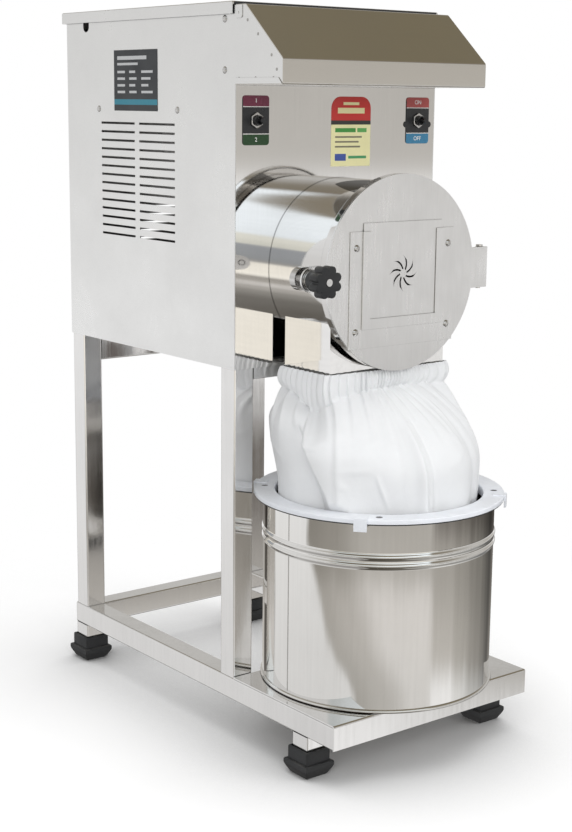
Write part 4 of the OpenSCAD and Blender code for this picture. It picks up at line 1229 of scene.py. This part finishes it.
@dataclass
class Collector(Assembly):
    """Bucket with its seam, and ring cover with its clips, studs and a black band of painted shade under its
    edge.
    """

    steps: int = 192
    rim: float = 2.5 * MM
    wall: float = 1.2 * MM
    bead_out: float = 1.9 * MM
    bead_half: float = 4.8 * MM
    bead_steps: int = 12
    hold: float = 0.6 * MM
    beads: tuple[float, ...] = (46 * MM, 57 * MM)
    seam_deg: float = 181.0
    seam_w: float = 1.6 * MM
    seam_out: float = 0.25 * MM
    seam_round: float = 0.2 * MM
    seam_edge: float = 20 * MM
    ring_w: float = 27 * MM
    ring_t: float = 4 * MM
    ring_round: float = 1.8 * MM
    ring_drop: float = 2 * MM
    ring_chamfer: float = 0.4 * MM
    skirt: float = 2.5 * MM
    lip: float = 8 * MM
    clip_deg: tuple[float, ...] = (41, 131, 221, 311)
    clip_w: float = 16 * MM
    clip_in: float = 14 * MM
    clip_deep: float = 11 * MM
    clip_lift: float = 1.0 * MM
    clip_reach: Span = (2.2 * MM, 2.8 * MM)
    clip_gap: float = 0.1 * MM
    clip_round: float = 0.8 * MM
    hole_off_deg: float = 8.0
    hole_r: float = 4.5 * MM
    hole_sides: int = 32
    bore: float = 30 * MM
    stud_fit: float = 0.2 * MM
    stud_share: float = 0.9
    stud_round: float = 0.6 * MM
    shadow_band_in: float = 0.6 * MM
    shadow_band_w: float = 6.5 * MM
    shadow_band_t: float = 1.5 * MM

    def build(self) -> None:
        """Models the bucket, its seam and the ring cover."""
        low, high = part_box("bucket")
        self.middle = (low + high) / 2
        self.bucket(Vector((self.middle.x, self.middle.y, low.z)), (high.x - low.x) / 2, high.z - low.z)
        self.ring()

    def bucket(self, centre: Vector, reach: float, height: float) -> None:
        """Spins the bucket with its rolled rims and two beads, and welds its upright seam between them.

        Args:
            centre: middle of the bucket's underside.
            reach: outer radius of its top rim.
            height: the bucket's height.
        """
        rim, wall, hold, half = self.rim, self.wall, self.hold, self.bead_half
        radius = reach - 2 * rim + wall
        profile = [(0.0, 0.0), (radius - 2 * rim, 0.0)]
        profile += arc((radius, rim), rim, -90, 90, 10) + [(radius, 2 * rim + hold)]
        shares = [i / self.bead_steps * 2 - 1 for i in range(self.bead_steps + 1)]
        for drop in sorted(self.beads, reverse=True):
            z = height - drop
            waves = [(self.bead_out * (0.5 + 0.5 * math.cos(math.pi * s)), half * s) for s in shares]
            profile.append((radius, z - half - hold))
            profile += [(radius + out, z + up) for out, up in waves]
            profile.append((radius, z + half + hold))
        profile += [(radius, height - 2 * rim - n * hold) for n in (2, 1)]
        profile += arc((radius + rim - wall, height - rim), rim, -115, 180, 16)
        profile += [(radius - wall, height - 2 * rim), (radius - wall, wall), (0.0, wall)]
        piece = lathe("bucket_spun", centre, Axis.Z, profile, self.steps)
        self.seat(piece, "bucket", "bucket_steel", "bucket")
        strips = []
        lower, upper = height - max(self.beads) - half, height - min(self.beads) + half
        for base, top in ((3 * rim, lower), (upper, height - 3 * rim)):
            near = (radius - wall / 2, -self.seam_w / 2, base)
            strip = block("seam", near, (radius + self.seam_out, self.seam_w / 2, top))
            strips.append(bevel(strip, self.seam_round, 2, sharp(length=self.seam_edge)))
        source = join(strips, "seam_strips")
        seam = turned(source, "bucket_seam", centre, self.seam_deg)
        bpy.data.objects.remove(source)
        self.seat(seam, "bucket", "bucket_steel", look="seam_steel")

    def ring(self) -> None:
        """Spins the ring cover, bores its holes and adds its studs, its clips and a black band of painted
        shade under its edge.
        """
        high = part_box("ring_cover")[1]
        t, drop, cut, r = self.ring_t, -self.ring_drop, self.ring_chamfer, self.ring_round
        centre = Vector((self.middle.x, self.middle.y, high.z - t))
        outer = high.x - self.middle.x
        inner = outer - self.ring_w
        wall_in, wall_out = inner + self.skirt, outer - self.skirt
        profile = [(inner, -self.lip), (wall_in, -self.lip), (wall_in, 0.0), (wall_out, 0.0)]
        profile += [(wall_out, drop), (outer - cut, drop), (outer, drop + cut)]
        profile += arc((outer - r, t - r), r, 0, 90, 6) + arc((inner + r, t - r), r, 90, 180, 6)
        piece = lathe("ring_cover_moulded", centre, Axis.Z, profile, self.steps)
        hole_at = (outer + inner) / 2
        cutters, studs = [], []
        for turn in self.clip_deg:
            at = math.radians(turn + self.hole_off_deg)
            place = centre + Vector((hole_at * math.cos(at), hole_at * math.sin(at), 0))
            cutters.append(disc("ring_hole", place, Axis.Z, self.hole_r, self.bore, self.hole_sides))
            tall = t * self.stud_share
            middle = place + Vector((0, 0, tall / 2))
            stud = disc("stud", middle, Axis.Z, self.hole_r + self.stud_fit, tall, self.hole_sides)
            studs.append(bevel(stud, self.stud_round, 2, sharp()))
        combine(piece, "DIFFERENCE", join(cutters, "ring_holes"))
        self.seat(piece, "bucket", "ring_plastic", "ring_cover")
        self.seat(join(studs, "ring_studs"), "bucket", "ring_plastic", look="black_plastic")
        # Black band under the ring's outer edge: painted shade standing for the shadow gap between the ring
        # and the bucket.
        edge, under = outer - self.shadow_band_in, drop - self.shadow_band_t
        band = [(edge - self.shadow_band_w, under), (edge - cut, under), (edge, under + cut), (edge, drop)]
        shadow_band = lathe("ring_shadow_band", centre, Axis.Z, band + [(edge - self.shadow_band_w, drop)], self.steps)
        self.seat(shadow_band, "bucket", "ring_plastic", look="foot_rubber")
        clip = self.clip(outer)
        clips = [turned(clip, "ring_clip", centre, turn) for turn in self.clip_deg]
        bpy.data.objects.remove(clip)
        self.seat(join(clips, "ring_clips"), "bucket", "ring_plastic")

    def clip(self, outer: float) -> Piece:
        """Models one clip: a strap on the ring's top that folds down over its edge.

        Args:
            outer: the ring's outer radius.

        Returns:
            The clip, at the origin and facing +X.
        """
        half, (reach, far) = self.clip_w / 2, self.clip_reach
        base, top = self.ring_t - self.clip_lift, self.ring_t + self.clip_lift
        strap = block("strap", (outer - self.clip_in, -half, base), (outer + reach, half, top))
        with Edit(strap, "FACE") as edit:
            edit.pick(lambda f: f.normal.x > 0.9)
            bpy.ops.mesh.extrude_region_move(TRANSFORM_OT_translate={"value": (far - reach, 0, 0)})
        near = (outer + self.clip_gap, -half, -self.clip_deep)
        combine(strap, "UNION", block("drop", near, (outer + far, half, top)))
        return bevel(strap, self.clip_round, 3, sharp())


def clamp(value: float) -> float:
    """Keeps a value between 0 and 1."""
    return max(0.0, min(1.0, value))


def smooth(value: float) -> float:
    """Eases a share in and out, kept between 0 and 1."""
    value = clamp(value)
    return value * value * (3 - 2 * value)


def bell(degrees: float, middle: float, width: float) -> float:
    """A bell curve round a direction, by the shorter way."""
    away = wrapped(degrees - middle)
    return math.exp(-((away / width) ** 2))


def wrapped(degrees: float) -> float:
    """Brings an angle between -180 and 180 degrees."""
    return (degrees + 180) % 360 - 180


@dataclass(frozen=True)
class Fold:
    """One long ridge or groove of the sleeve: its place and widths in degrees, and its height in mm."""

    turn: float
    left: float
    right: float
    height: float
    lean: float = 0.0
    top: float = 0.16


@dataclass(frozen=True)
class Crease:
    """One short crease between two places, each a direction in degrees and a share of the way down."""

    start: Span
    end: Span
    height: float
    width: float = 2.6


@dataclass
class Sleeve(Assembly):
    """Cloth sleeve from the chute's elastic mouth down into the bucket."""

    around: int = 640
    along: int = 72
    crowding: float = 1.3
    hem: float = 28 * MM
    belly: float = 126 * MM
    bulge: float = 18 * MM
    bulge_deg: float = 142.0
    peak: Span = (0.52, 0.24)
    ring_share: float = 0.64
    tail: float = 121 * MM
    lean: float = 6 * MM
    ring_w: float = 27 * MM
    ring_room: float = 1.6 * MM
    thick: float = 0.8 * MM
    smooth_deg: float = 75.0
    pressed: float = 0.25
    ease: float = 2.0 * MM
    squareness: int = 18
    puff: float = 8.0 * MM
    ruffles: int = 70
    ruffle: float = 3.6 * MM
    ruffle_fade: float = 20 * MM
    loosening: float = 0.16
    fold_start: float = 0.12
    fold_lean: Span = (0.35, 0.4)
    sag_hems: float = 4.0
    least: float = 1e-3
    folds: tuple[Fold, ...] = (
        Fold(-167, 2.4, 15, 12, lean=15, top=0.15), Fold(-178, 11, 5, -13, lean=14, top=0.13),
        Fold(-153, 1.6, 2.5, 2.2, lean=1, top=0.2), Fold(-130, 20, 18, -7, top=0.2),
        Fold(-105.5, 4, 1.8, 6, lean=1.5, top=0.14), Fold(-98, 3, 6, -6, lean=3, top=0.14),
        Fold(-78, 9, 9, 3, lean=2), Fold(-56, 8, 6, -4, lean=-4), Fold(-34, 6, 9, 5, lean=4),
        Fold(-12, 9, 7, -5), Fold(14, 5, 9, 5, lean=-5), Fold(40, 9, 6, -5, lean=5),
        Fold(66, 7, 7, 5, lean=3), Fold(92, 8, 6, -5, lean=-4), Fold(118, 6, 9, 4, lean=6),
        Fold(140, 8, 8, -3, lean=2),
    )
    creases: tuple[Crease, ...] = (
        Crease((-153.7, 0.439), (-135, 0.454), 1.7), Crease((-152.6, 0.513), (-147.7, 0.538), 1.5),
        Crease((-133.3, 0.466), (-125.7, 0.634), 1.8), Crease((-138, 0.215), (-118, 0.235), -2.2, 4.5),
        Crease((-139, 0.175), (-117, 0.195), 2.0, 4.0), Crease((-150, 0.175), (-137, 0.145), 2.6, 3.2),
        Crease((-176, 0.27), (-163, 0.295), 2.0), Crease((-102, 0.20), (-93, 0.28), 2.2),
        Crease((-88, 0.46), (-70, 0.40), 1.6, 3.5), Crease((-80, 0.30), (-66, 0.36), 1.5, 3.5),
        Crease((150, 0.36), (168, 0.44), 1.6), Crease((-150, 0.34), (-128, 0.32), -1.4, 5.0),
        Crease((30, 0.4), (48, 0.46), 1.8), Crease((78, 0.3), (100, 0.36), 1.8),
        Crease((-30, 0.36), (-10, 0.42), 1.8),
    )
    droops: tuple[Point, ...] = ((-170, 17, 21), (-112, 30, -3), (-60, 40, -5), (20, 50, 4))

    def build(self) -> None:
        """Lofts the cloth and sets it on the bucket."""
        low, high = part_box("cloth_sleeve")
        chute_low, chute_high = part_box("discharge_chute")
        bucket_low, bucket_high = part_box("bucket")
        ring_low, ring_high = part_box("ring_cover")
        self.top, self.length = high.z, high.z - low.z
        self.ring_z = ring_low.z, ring_high.z
        self.hole_r = (ring_high.x - ring_low.x) / 2 - self.ring_w
        self.mouth = (chute_high - chute_low) / 2
        self.from_y = (chute_low.y + chute_high.y) / 2
        self.to_y = (bucket_low.y + bucket_high.y) / 2
        piece = self.loft("cloth_sleeve_sewn")
        apply_modifier(piece, "SOLIDIFY", thickness=self.thick, offset=-1.0)
        self.seat(piece, "bucket", "sleeve_cloth", "cloth_sleeve", smooth_deg=self.smooth_deg)
        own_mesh(piece)

    def point(self, share: float, turn: float) -> Vector:
        """A point of the cloth.

        Args:
            share: share of the way down, from 0 to 1.
            turn: direction round the sleeve in radians.

        Returns:
            The point in the frame.
        """
        down, start, ring = share * self.length, self.hem / self.length, self.ring_share
        reach = [
            (half + self.ease) / max(abs(part), self.least)
            for half, part in zip(self.mouth, (math.cos(turn), math.sin(turn)))
        ]
        mouth = sum(r ** -self.squareness for r in reach) ** (-1 / self.squareness)
        side = clamp(0.15 + 0.85 * math.cos(turn - math.radians(self.bulge_deg)))
        peak = self.peak[0] - self.peak[1] * side
        belly, waist, tail = (
            size + more * side
            for size, more in ((self.belly, self.bulge), (self.belly, self.lean), (self.tail, self.lean))
        )
        spread = math.sin(clamp((share - start) / (peak - start)) * math.pi / 2) ** 0.8
        below = belly + (waist - belly) * smooth((share - peak) / (ring - peak))
        below += (tail - waist) * smooth((share - ring) / (1 - ring))
        loose = clamp((share - start) / self.loosening)
        degrees = math.degrees(turn)
        radius = mouth * (1 - spread) + below * spread + self.gathers(down, turn)
        radius += loose * (self.fold_height(share, degrees) + self.crease_height(share, degrees))
        sag = sum(depth * MM * bell(degrees, middle, width) for middle, width, depth in self.droops)
        sag *= min(1.0, down / self.hem) * (1 - clamp((down - self.hem) / (self.sag_hems * self.hem)))
        z = self.top - down - sag
        if share > peak:
            beyond = max(0.0, z - self.ring_z[1], self.ring_z[0] - z)
            radius = min(radius, self.hole_r - self.ring_room + beyond)
        y = self.from_y + (self.to_y - self.from_y) * spread
        return Vector((radius * math.cos(turn), y + radius * math.sin(turn), z))

    def gathers(self, down: float, turn: float) -> float:
        """Height of the elastic hem's puff and ruffles.

        Args:
            down: distance below the sleeve's top.
            turn: direction in radians.

        Returns:
            Height in metres.
        """
        phase = self.ruffles * turn + 0.9 * math.sin(7 * turn) + 0.6 * math.sin(17 * turn + 1)
        wave, crest = math.sin(phase), abs(math.sin(phase / 2)) * 2 - 1
        height = self.ruffle * (0.75 + 0.35 * math.sin(11 * turn + 2) * math.sin(5 * turn))
        if down <= self.hem:
            band = math.sin(math.pi * (0.12 + 0.88 * down / self.hem)) ** 0.6 if down < self.hem else 0.0
            return self.puff * band + height * (0.3 * wave + 0.7 * crest) * (0.55 + 0.45 * band)
        slow = math.sin(self.ruffles * turn / 2 + 1.3 * math.sin(5 * turn))
        return math.exp(-(down - self.hem) / self.ruffle_fade) * height * (0.4 * wave + 1.3 * slow)

    def fold_height(self, share: float, degrees: float) -> float:
        """Height of the long folds.

        Args:
            share: share of the way down.
            degrees: direction round the sleeve.

        Returns:
            Height in metres.
        """
        height = 0.0
        for fold in self.folds:
            middle = fold.turn + fold.lean * (share - self.fold_lean[0]) / self.fold_lean[1]
            width = fold.left if wrapped(degrees - middle) < 0 else fold.right
            depth = fold.height * MM * clamp((share - fold.top) / self.fold_start)
            height += depth * bell(degrees, middle, width)
        return height

    def crease_height(self, share: float, degrees: float) -> float:
        """Height of the short creases.

        Args:
            share: share of the way down.
            degrees: direction round the sleeve.

        Returns:
            Height in metres.
        """
        height = 0.0
        across = math.radians(1) * self.belly
        for crease in self.creases:
            (turn, down), (end_turn, end_down) = crease.start, crease.end
            way = Vector(((end_turn - turn) * across, (end_down - down) * self.length))
            place = Vector((wrapped(degrees - turn) * across, (share - down) * self.length))
            step = clamp(place.dot(way) / way.length_squared)
            away = (place - way * step).length / (crease.width * MM)
            height += crease.height * MM * math.sin(math.pi * (0.1 + 0.8 * step)) * math.exp(-(away ** 2))
        return height

    def loft(self, name: str) -> Piece:
        """Lofts the rows of points into a cloth with a UV map in metres.

        Args:
            name: the piece's name.

        Returns:
            The cloth.
        """
        shares = [(i / self.along) ** self.crowding for i in range(self.along + 1)]
        mesh = bmesh.new()
        uv = mesh.loops.layers.uv.new("cloth")
        rows = [
            [mesh.verts.new(self.point(share, FULL_TURN * j / self.around)) for j in range(self.around)]
            for share in shares
        ]
        girth = FULL_TURN * self.belly
        for i in range(self.along):
            for j in range(self.around):
                corners = ((i, j), (i + 1, j), (i + 1, j + 1), (i, j + 1))
                face = mesh.faces.new([rows[row][step % self.around] for row, step in corners])
                for loop, (row, step) in zip(face.loops, corners):
                    loop[uv].uv = (girth * step / self.around, self.length * shares[row])
        data = bpy.data.meshes.new(name)
        mesh.to_mesh(data)
        mesh.free()
        return linked(name, data)


@dataclass(frozen=True)
class Lamp:
    """A square softbox: its name, place, the point that it faces, its side and its power."""

    name: str
    place: Point
    aim: Point
    size: float
    watts: float

    def hang(self) -> None:
        """Hangs the softbox so that polished faces don't mirror it."""
        data = bpy.data.lights.new(self.name, "AREA")
        data.size, data.energy = self.size, self.watts
        lamp = linked(self.name, data)
        lamp.location = self.place
        lamp.rotation_euler = (Vector(self.aim) - Vector(self.place)).to_track_quat("-Z", "Y").to_euler()
        lamp.visible_glossy = False


@dataclass
class Studio:
    """Camera, floor, world and lamps, with the tones that polished steel mirrors by turn and height."""

    eye: Point = (-1.3062, -1.6478, 0.82235)
    heading_deg: float = 37.998
    dip_deg: float = 11.324
    roll_deg: float = 0.572
    lens_px: float = 1567.46
    picture_h_px: float = 832.0
    sensor: float = 36.0
    clip_end: float = 50.0
    floor_r: float = 2.6
    floor_sides: int = 96
    floor_fade: Span = (0.48, 1.0)
    floor_tone: float = 0.56
    floor_glow: float = 0.57
    painted_shadow_reach: float = 0.28
    sky: float = 0.5
    around: Stops = (
        (0.0, (0.20, 0.19, 0.18)), (0.03, (0.24, 0.23, 0.22)), (0.05, 1.0), (0.60, 1.0),
        (0.63, (0.84, 0.84, 0.83)), (0.72, (0.56, 0.56, 0.55)), (0.80, 0.22), (0.84, (0.45, 0.44, 0.43)),
        (0.925, 1.0), (0.95, 1.0), (0.962, (0.22, 0.21, 0.20)), (1.0, (0.20, 0.19, 0.18)),
    )
    side: Stops = (
        (0.0, (0.30, 0.29, 0.28)), (0.28, (0.66, 0.655, 0.65)), (0.328, (0.74, 0.735, 0.73)),
        (0.362, (0.80, 0.795, 0.79)), (0.376, 0.82), (0.42, 0.87), (0.445, 0.85),
        (0.47, (0.78, 0.778, 0.772)), (0.50, (0.69, 0.685, 0.675)), (0.53, (0.66, 0.655, 0.645)),
        (0.70, 0.74), (0.82, (0.46, 0.44, 0.40)), (1.0, (0.26, 0.24, 0.20)),
    )
    front: Stops = (
        (0.0, (0.13, 0.12, 0.10)), (0.19, (0.16, 0.15, 0.135)), (0.25, (0.25, 0.24, 0.225)),
        (0.29, (0.44, 0.43, 0.41)), (0.312, (0.68, 0.665, 0.645)), (0.345, (0.70, 0.675, 0.65)),
        (0.356, (0.46, 0.44, 0.41)), (0.382, (0.40, 0.38, 0.35)), (0.394, (0.96, 0.93, 0.86)),
        (0.405, (1.13, 1.09, 1.0)), (0.475, (1.13, 1.09, 1.0)), (0.493, 0.42), (0.515, (0.38, 0.40, 0.42)),
        (0.598, (0.40, 0.42, 0.45)), (0.612, (0.80, 0.80, 0.73)), (0.66, (0.88, 0.88, 0.81)),
        (0.68, (0.97, 1.04, 1.10)), (0.795, (1.02, 1.09, 1.15)), (0.805, (0.27, 0.24, 0.19)),
        (0.87, (0.25, 0.215, 0.15)), (1.0, (0.26, 0.24, 0.20)),
    )
    right: Stops = (
        (0.0, (0.35, 0.34, 0.32)), (0.27, (0.78, 0.775, 0.77)), (0.30, (0.94, 0.935, 0.93)),
        (0.319, (0.90, 0.895, 0.89)), (0.330, (0.54, 0.515, 0.48)), (0.360, (0.40, 0.38, 0.35)),
        (0.373, (0.18, 0.165, 0.15)), (0.397, (0.16, 0.145, 0.13)), (0.409, (0.90, 0.895, 0.89)),
        (0.472, (0.90, 0.895, 0.89)), (0.484, (0.54, 0.52, 0.49)), (0.53, (0.51, 0.49, 0.46)),
        (0.57, (0.46, 0.44, 0.41)), (0.62, (0.56, 0.55, 0.53)), (0.665, (0.56, 0.55, 0.53)),
        (0.70, (0.44, 0.425, 0.40)), (0.76, (0.27, 0.245, 0.20)), (0.80, (0.24, 0.21, 0.165)),
        (0.86, (0.205, 0.178, 0.122)), (1.0, (0.26, 0.24, 0.20)),
    )
    corner: Stops = ((0.318, 0.33), (0.332, 0.255), (0.35, 0.212), (0.364, 0.18), (0.385, 0.20), (0.42, 0.26))
    corner_soft: float = 0.008
    deep: Stops = ((0.0, (0.60, 0.59, 0.565)), (0.08, (0.72, 0.71, 0.69)), (0.17, 1.02), (0.30, 1.03))
    right_from: Span = (0.532, 0.552)
    shade_to: Span = (0.40, 0.46)
    wobble: float = 0.03
    wobble_scale: float = 9.0
    level_share: float = 0.25
    screen_tone: Colour = (0.115, 0.10, 0.09)
    screen_across: Span = (0.555, 0.597)
    screen_height: Span = (0.402, 0.432)
    screen_soft: float = 0.003
    lamps: tuple[Lamp, ...] = (
        Lamp("key softbox", (1.0, -2.4, 1.5), (0.0, -0.15, 0.45), 1.2, 23.0),
        Lamp("fill softbox", (-1.8, -1.6, 1.2), (0.0, 0.0, 0.4), 1.4, 20.0),
        Lamp("top softbox", (0.0, -0.1, 3.0), (0.0, 0.0, 0.3), 2.2, 23.0),
    )

    def build(self) -> None:
        """Sets up the whole studio."""
        bpy.context.scene.view_settings.view_transform = "Standard"
        self.camera()
        self.floor()
        self.world()
        for lamp in self.lamps:
            lamp.hang()

    def camera(self) -> None:
        """Places the camera where the photograph was taken from."""
        heading, dip, roll = (math.radians(a) for a in (self.heading_deg, self.dip_deg, self.roll_deg))
        level = Vector((math.cos(heading), -math.sin(heading), 0.0))
        ahead = Vector((math.sin(heading) * math.cos(dip), math.cos(heading) * math.cos(dip), -math.sin(dip)))
        over = level.cross(ahead)
        right = level * math.cos(roll) + over * math.sin(roll)
        up = over * math.cos(roll) - level * math.sin(roll)
        data = bpy.data.cameras.new("camera")
        data.sensor_width, data.clip_end = self.sensor, self.clip_end
        data.lens = self.sensor * self.lens_px / self.picture_h_px
        camera = linked("camera", data)
        camera.matrix_world = Matrix.Translation(self.eye) @ Matrix((right, up, -ahead)).transposed().to_4x4()
        bpy.context.scene.camera = camera

    def floor(self) -> None:
        """Lays a round pale floor that fades into the white background; near the mill its camera-only glow is
        dimmed by ambient occlusion, a painted contact shadow.
        """
        add = bpy.ops.mesh.primitive_circle_add
        piece = primitive("floor", add, vertices=self.floor_sides, radius=self.floor_r, fill_type="NGON")
        material = bpy.data.materials.new("floor")
        material.use_nodes = True
        nodes = Nodes(material.node_tree)
        nodes.tree.nodes.remove(nodes.tree.nodes["Principled BSDF"])
        paths = nodes.add("LightPath").outputs
        away = nodes.add("VectorMath", {0: nodes.place()}, operation="LENGTH").outputs["Value"]
        through = nodes.math("MAXIMUM", nodes.mapped(away, *self.floor_fade), paths["Is Glossy Ray"])
        matt = nodes.add("BsdfDiffuse", {"Color": rgba(self.floor_tone)}).outputs[0]
        # Painted contact shadow: ambient occlusion dims the floor's camera-only glow close to the mill.
        near = nodes.add("AmbientOcclusion", {"Distance": self.painted_shadow_reach}, samples=12).outputs["AO"]
        painted_shadow_glow = nodes.times(paths["Is Camera Ray"], nodes.mapped(near, 0.35, 1.0, 0.0, self.floor_glow))
        light = nodes.add("Emission", {"Color": rgba(WHITE), "Strength": painted_shadow_glow}).outputs[0]
        lit = nodes.add("AddShader", {0: matt, 1: light}).outputs[0]
        clear = nodes.add("BsdfTransparent").outputs[0]
        whole = nodes.add("MixShader", {0: through, 1: lit, 2: clear}).outputs[0]
        nodes.link(whole, nodes.tree.nodes["Material Output"].inputs[0])
        piece.data.materials.append(material)

    def world(self) -> None:
        """Gives a white background, a soft sky for matt surfaces and a toned studio for polished ones."""
        world = bpy.data.worlds.new("studio")
        bpy.context.scene.world = world
        world.use_nodes = True
        nodes = Nodes(world.node_tree)
        paths = nodes.add("LightPath").outputs
        sky = nodes.mix(paths["Is Glossy Ray"], self.sky, self.tones(nodes))
        shown = nodes.math("MAXIMUM", paths["Is Camera Ray"], paths["Is Transmission Ray"])
        out = nodes.tree.nodes["Background"].inputs
        nodes.link(nodes.mix(shown, sky, WHITE), out["Color"])
        out["Strength"].default_value = 1.0

    def tones(self, nodes: Nodes) -> Socket:
        """Tones of the studio that polished steel mirrors, by the mirrored ray's turn and height.

        Args:
            nodes: the world's nodes.

        Returns:
            The tone's socket.
        """
        way_in = nodes.add("TexCoord").outputs["Generated"]
        way = nodes.add("SeparateXYZ", {0: way_in}).outputs
        turn = nodes.math("ARCTAN2", way[0], nodes.times(way[1], -1.0))
        across, height = nodes.mapped(turn, -math.pi, math.pi), nodes.mapped(way[2], -1.0, 1.0)
        uneven = nodes.noise(self.wobble_scale, 2.0, way_in)
        shift = nodes.times(nodes.math("SUBTRACT", uneven, 0.5), self.wobble)
        bent = nodes.math("ADD", across, shift)
        level = nodes.math("ADD", height, nodes.times(shift, self.level_share))
        past = nodes.math("SUBTRACT", bent, nodes.ramp(height, self.corner, "LINEAR"))
        views = (self.side, self.front, self.right)
        side, front, right = (nodes.ramp(level, stops, "EASE") for stops in views)
        front = nodes.mix(1.0, front, nodes.ramp(past, self.deep, "EASE"), "MULTIPLY")
        whole = nodes.mix(nodes.mapped(past, -self.corner_soft, self.corner_soft), side, front)
        whole = nodes.mix(nodes.mapped(bent, *self.right_from), whole, right)
        screen: Value = 1.0
        for value, (low, high) in ((across, self.screen_across), (height, self.screen_height)):
            screen = nodes.times(screen, nodes.mapped(value, low - self.screen_soft, low))
            screen = nodes.times(screen, nodes.mapped(value, high, high + self.screen_soft, 1.0, 0.0))
        whole = nodes.mix(screen, whole, self.screen_tone)
        shade = nodes.mix(nodes.mapped(height, *self.shade_to), nodes.ramp(bent, self.around, "EASE"), WHITE)
        return nodes.mix(1.0, whole, shade, "MULTIPLY")


def main() -> None:
    """Builds the mill's pieces, then the studio round them."""
    logging.basicConfig(level=logging.INFO, format="%(name)s: %(message)s")
    palette = Palette(Groups())
    for assembly in (Stand, Casing, Controls, Door, Collector, Sleeve):
        assembly(palette).build()
    Studio().build()


if __name__ == "__main__":
    main()
